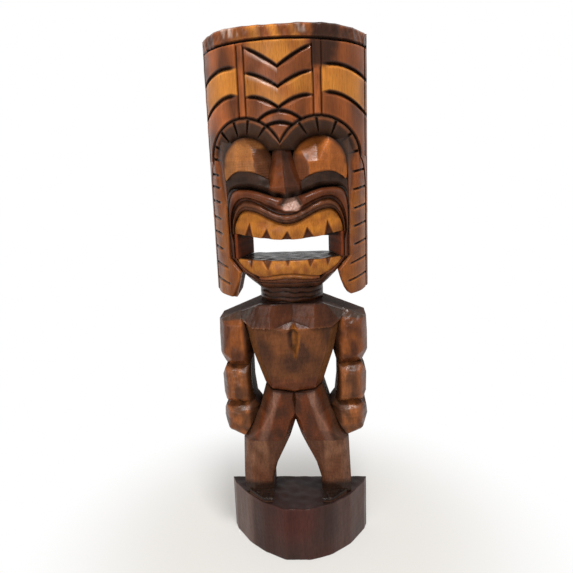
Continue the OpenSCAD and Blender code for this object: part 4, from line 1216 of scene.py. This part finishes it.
in_low, out_low = (shin_hi.x - 30, deck_z), (shin_hi.x, deck_z)
for hand, side in ((1, "right"), (-1, "left")):
    u = crowded(62, BODY_PITCH)
    x, z = patch(line(knee_in, knee_out), line(*low_right),
                 line(knee_in, crotch, (0, hip_low_z)), line(knee_out, touch_point, waist),
                 u, steps(62, BODY_PITCH))
    y = leg_front(x, z, THIGH_CUTS, 200 + hand)
    highlight_x = 27 - 0.31 * (z - 145)
    # The pale stripe down each thigh is a painted highlight.
    stain = coats(
        (0.115, 0.029, 0.009),
        ((0.06, 0.019, 0.008), 0.5 + 0.6 * waver(x, 0.5 * z, 15, 204 + hand)),
        ((0.17, 0.08, 0.052), 0.7 * np.clip(1.6 - np.abs(x - highlight_x) / 3.6, 0, 1)),
        ((0.07, 0.032, 0.018), 0.7 * ease(x - highlight_x - 7, 3)),
        (SOOT, 0.6 * ease(z - hip_z(x) + 2.4, 2.4) + 0.4 * ease(3 - x, 3)),
        (SOOT, 0.7 * frame_edge(x, 2, ends=False)))
    carve(side + "_thigh", "wood_red_brown", x, z, y, stain_and_shade_in_hollows(stain, y), CHOCOLATE, hand)

    x, z = patch(line(in_low, out_low), line(knee_in, knee_out),
                 line(in_low, (in_low[0], ankle_z), (in_low[0] - 5, calf_z), knee_in),
                 line(out_low, (out_low[0], ankle_z), knee_out), u, steps(70, BODY_PITCH))
    y = leg_front(x, z, SHIN_CUTS, 210 + hand)
    # The shin is painted paler than the thigh, as light on its lean back, and darker towards the feet.
    stain = coats(
        (0.2, 0.09, 0.048),
        ((0.11, 0.042, 0.02), 0.4 + 0.7 * waver(x, 0.5 * z, 14, 214 + hand)),
        ((0.10, 0.03, 0.012), 0.7 * ease(knee_z - 16 - z, 26)),
        ((0.085, 0.032, 0.016), ease(29 + 0.03 * (knee_z - z) - x, 3) * 0.9),
        ((0.12, 0.056, 0.034), ease(x - 42 - 0.08 * (knee_z - z), 3) * 0.75),
        ((0.024, 0.012, 0.008), 0.96 * ease(deck_z + 19 + waver(x, 0 * z, 9, 218) - z, 8)),
        ((0.10, 0.036, 0.017), 0.85 * ease(z - knee_z + 3 + waver(x, 0 * z, 9, 216), 2)),
        (SOOT, 0.7 * frame_edge(x, 2, ends=False)))
    carve(side + "_shin", "wood_tan", x, z, y, stain_and_shade_in_hollows(stain, y), CHOCOLATE, hand)

    heels = line((foot_lo.x, foot_hi.y), (foot_hi.x, foot_hi.y))
    tips = line((foot_lo.x, foot_lo.y), (foot_lo.x + 6, foot_lo.y - 0.6), (foot_hi.x - 4, foot_lo.y + 0.4),
                (foot_hi.x + 1, foot_lo.y + 4))
    fx, fy = between(heels, tips, steps(26, 0.4), steps(18, 0.4))
    out = (foot_hi.y - fy) / (foot_hi.y - foot_lo.y)
    fy = np.maximum(fy, np.interp(fx, [20, 36, 53.5], [-29, -15.6, 0.4]))
    instep = 5.6 - 2.0 * out - 1.2 * np.clip((out - 0.92) / 0.08, 0, 1) ** 2
    toes = 0
    for k in (1, 2, 3, 4):
        toes = np.maximum(toes, bar(fx - foot_lo.x - 5.1 * k - 0.8 * out, 0.9) * ease(out - 0.38, 0.2))
    fz = deck_z + instep - 0.5 * toes + 0.25 * waver(fx, fy, 6, 220 + hand)
    stain = coats(
        (0.026, 0.013, 0.008),
        ((0.015, 0.009, 0.007), 0.5 + 0.5 * waver(fx, 0.5 * fy, 7, 222 + hand)),
        (SOOT, 0.6 * toes))
    stain = stain_and_shade_in_hollows(stain, -fz)
    if hand < 0:
        fx, fy, fz, stain = -fx[:, ::-1], fy[:, ::-1], fz[:, ::-1], stain[:, ::-1]
    fx = fx + drift(fx, fz)
    solid(side + "_foot", "wood_red_brown", np.stack([fx, fy, fz], -1),
          np.stack([fx, fy, deck_z + 0 * fz], -1), stain, CHOCOLATE, walls=4)

# ---- Base ----
# The uncut foot of the half-log, a D-shaped block left under the feet. Its round front is
# hewn in upright strips, its deck is chopped rough, and it is painted dark maroon.
base_half = corners("base")[1].x
base_r = round_r(base_half, back_y - front_y)
base_edge = base_half - 0.3
turn = np.linspace(-math.asin(base_edge / base_r), math.asin(base_edge / base_r), 250)
u = (np.sin(turn) * base_r / base_edge + 1) / 2
x, z = between(line((-base_edge, 0), (base_edge, 0)), line((-base_edge, deck_z), (base_edge, deck_z)),
               u, steps(deck_z, BODY_PITCH))
HEWN_FRONT = [(-base_edge, 29.3), (-69.5, 20.5), (-53.5, -1.0), (-36, -17), (-14, -28.9), (12, -29.4),
              (34, -20.5), (54, -3.5), (70, 20.5), (base_edge, 29.3)]
outline = np.interp(x, *zip(*HEWN_FRONT))
y = blur(outline, 2) + 0.5 * hewn(x, base_r, 9, 230)
y = y + 0.3 * waver(x, 0.4 * z, 18, 232) + 0.08 * waver(x, z, 5, 233)
y = y + 1.0 * near(deck_z - z, 1.2) ** 1.5 + 0.6 * near(z, 1.0)
y = np.minimum(y, back_y - BACK_GAP)
# The pale patches at the left and right ends of the front are painted reflections.
stain = coats(
    (0.055, 0.02, 0.015),
    ((0.036, 0.02, 0.017), 0.5 + 0.5 * waver(x, 0.5 * z, 34, 234)),
    ((0.13, 0.08, 0.068), 0.8 * ease(-x - 44, 8)),
    ((0.09, 0.048, 0.04), 0.7 * ease(x - 34, 10)),
    ((0.06, 0.013, 0.009), 0.7 * np.exp(-((x + 6) / 26) ** 2) * ease(z - 16, 24)),
    ((0.022, 0.011, 0.009), 0.7 * near(deck_z - z, 1.6)))


def chop_deck(points):
    """Leaves the marks of a chisel all over the deck of the base."""
    level = np.abs(points[:, 2] - deck_z) < 0.05
    px, py = points[:, 0], points[:, 1]
    points[:, 2] -= level * (0.4 + 0.25 * waver(px, py, 14, 236) + 0.12 * np.abs(waver(px, py, 4, 237)))
    return points


carve("base", "wood_maroon", x, z, y, stain_and_shade_in_hollows(stain, y, dark=0.4), (0.02, 0.008, 0.006), walls=60,
      touch=chop_deck, varnish=(1, 0.6))

# ---- Floor, light and camera ----
# A plain pale floor, a small lamp above, a broad one in front, and a camera that looks a
# little down on the figure from the right of its middle.
bpy.ops.mesh.primitive_circle_add(vertices=96, radius=4.0, fill_type="NGON", location=(0, 0, 0))
floor = bpy.context.object
floor.name = "floor"
pale = bpy.data.materials.new("pale_floor")
world = bpy.data.worlds.new("studio")


def lit_and_seen(owner, output, lit, seen):
    """Gives a material or the world one look for the light it sends, and another for the eye."""
    owner.use_nodes = True
    tree = owner.node_tree
    tree.nodes.clear()
    path = put(tree, "LightPath", {})
    most = path.outputs["Is Camera Ray"]
    for name in ("Is Glossy Ray", "Is Transmission Ray"):
        most = put(tree, "Math", {0: most, 1: path.outputs[name]}, operation="MAXIMUM").outputs[0]
    choice = put(tree, "MixShader", {"Fac": most, 1: lit(tree), 2: seen(tree)})
    put(tree, output, {"Surface": choice.outputs[0]})


def matt(tree, colour):
    return put(tree, "BsdfDiffuse", {"Color": (*colour, 1)}).outputs[0]


def glow(tree, kind, colour, strength):
    return put(tree, kind, {"Color": (*colour, 1), "Strength": strength}).outputs[0]


def floor_look(tree):
    """The pale floor round the base, which runs out to plain white farther away."""
    away = put(tree, "VectorMath", {0: put(tree, "TexCoord", {}).outputs["Object"]}, operation="LENGTH")
    spread = {"Value": away.outputs["Value"], "From Min": 0.11, "From Max": 0.3, "To Min": 0.3}
    far = put(tree, "MapRange", spread, interpolation_type="SMOOTHSTEP").outputs["Result"]
    white = glow(tree, "Emission", (1, 1, 1), 1)
    return put(tree, "MixShader", {"Fac": far, 1: matt(tree, (0.72, 0.70, 0.66)), 2: white}).outputs[0]


lit_and_seen(pale, "OutputMaterial", lambda tree: matt(tree, (0.75, 0.74, 0.72)), floor_look)
floor.data.materials.append(pale)
lit_and_seen(world, "OutputWorld", lambda tree: glow(tree, "Background", (1.0, 0.95, 0.89), 0.42),
             lambda tree: glow(tree, "Background", (1, 1, 1), 1))
bpy.context.scene.world = world


def soft_lamp(name, place, aim, size, power):
    """A square softbox at a place in metres, turned to face a point."""
    lamp = bpy.data.lights.new(name, "AREA")
    lamp.shape = "SQUARE"
    lamp.size = size
    lamp.energy = power
    stand = bpy.data.objects.new(name, lamp)
    bpy.context.collection.objects.link(stand)
    stand.location = place
    stand.rotation_euler = (Vector(aim) - Vector(place)).to_track_quat("-Z", "Y").to_euler()


soft_lamp("key_lamp", (0.12, -0.42, 1.4), (0, 0, 0.3), 0.2, 13)
soft_lamp("fill_lamp", (-0.45, -1.35, 0.45), (0, 0, 0.25), 0.8, 9)

CAMERA_PLACE = Vector((27.68, -509.45, 395.41)) * MM
YAW, PITCH, ROLL = (math.radians(a) for a in (-3.593, 12.769, -2.195))
ahead = Vector((math.sin(YAW) * math.cos(PITCH), math.cos(YAW) * math.cos(PITCH), -math.sin(PITCH)))
level_right = Vector((math.cos(YAW), -math.sin(YAW), 0))
level_up = level_right.cross(ahead)
right = level_right * math.cos(ROLL) + level_up * math.sin(ROLL)
up = level_up * math.cos(ROLL) - level_right * math.sin(ROLL)
camera_data = bpy.data.cameras.new("camera")
camera_data.lens = 34.32
camera_data.sensor_width = 36
camera_data.clip_start = 0.01
camera = bpy.data.objects.new("camera", camera_data)
bpy.context.collection.objects.link(camera)
camera.matrix_world = Matrix.Translation(CAMERA_PLACE) @ Matrix((right, up, -ahead)).transposed().to_4x4()
bpy.context.scene.camera = camera
bpy.context.scene.view_settings.view_transform = "Standard"
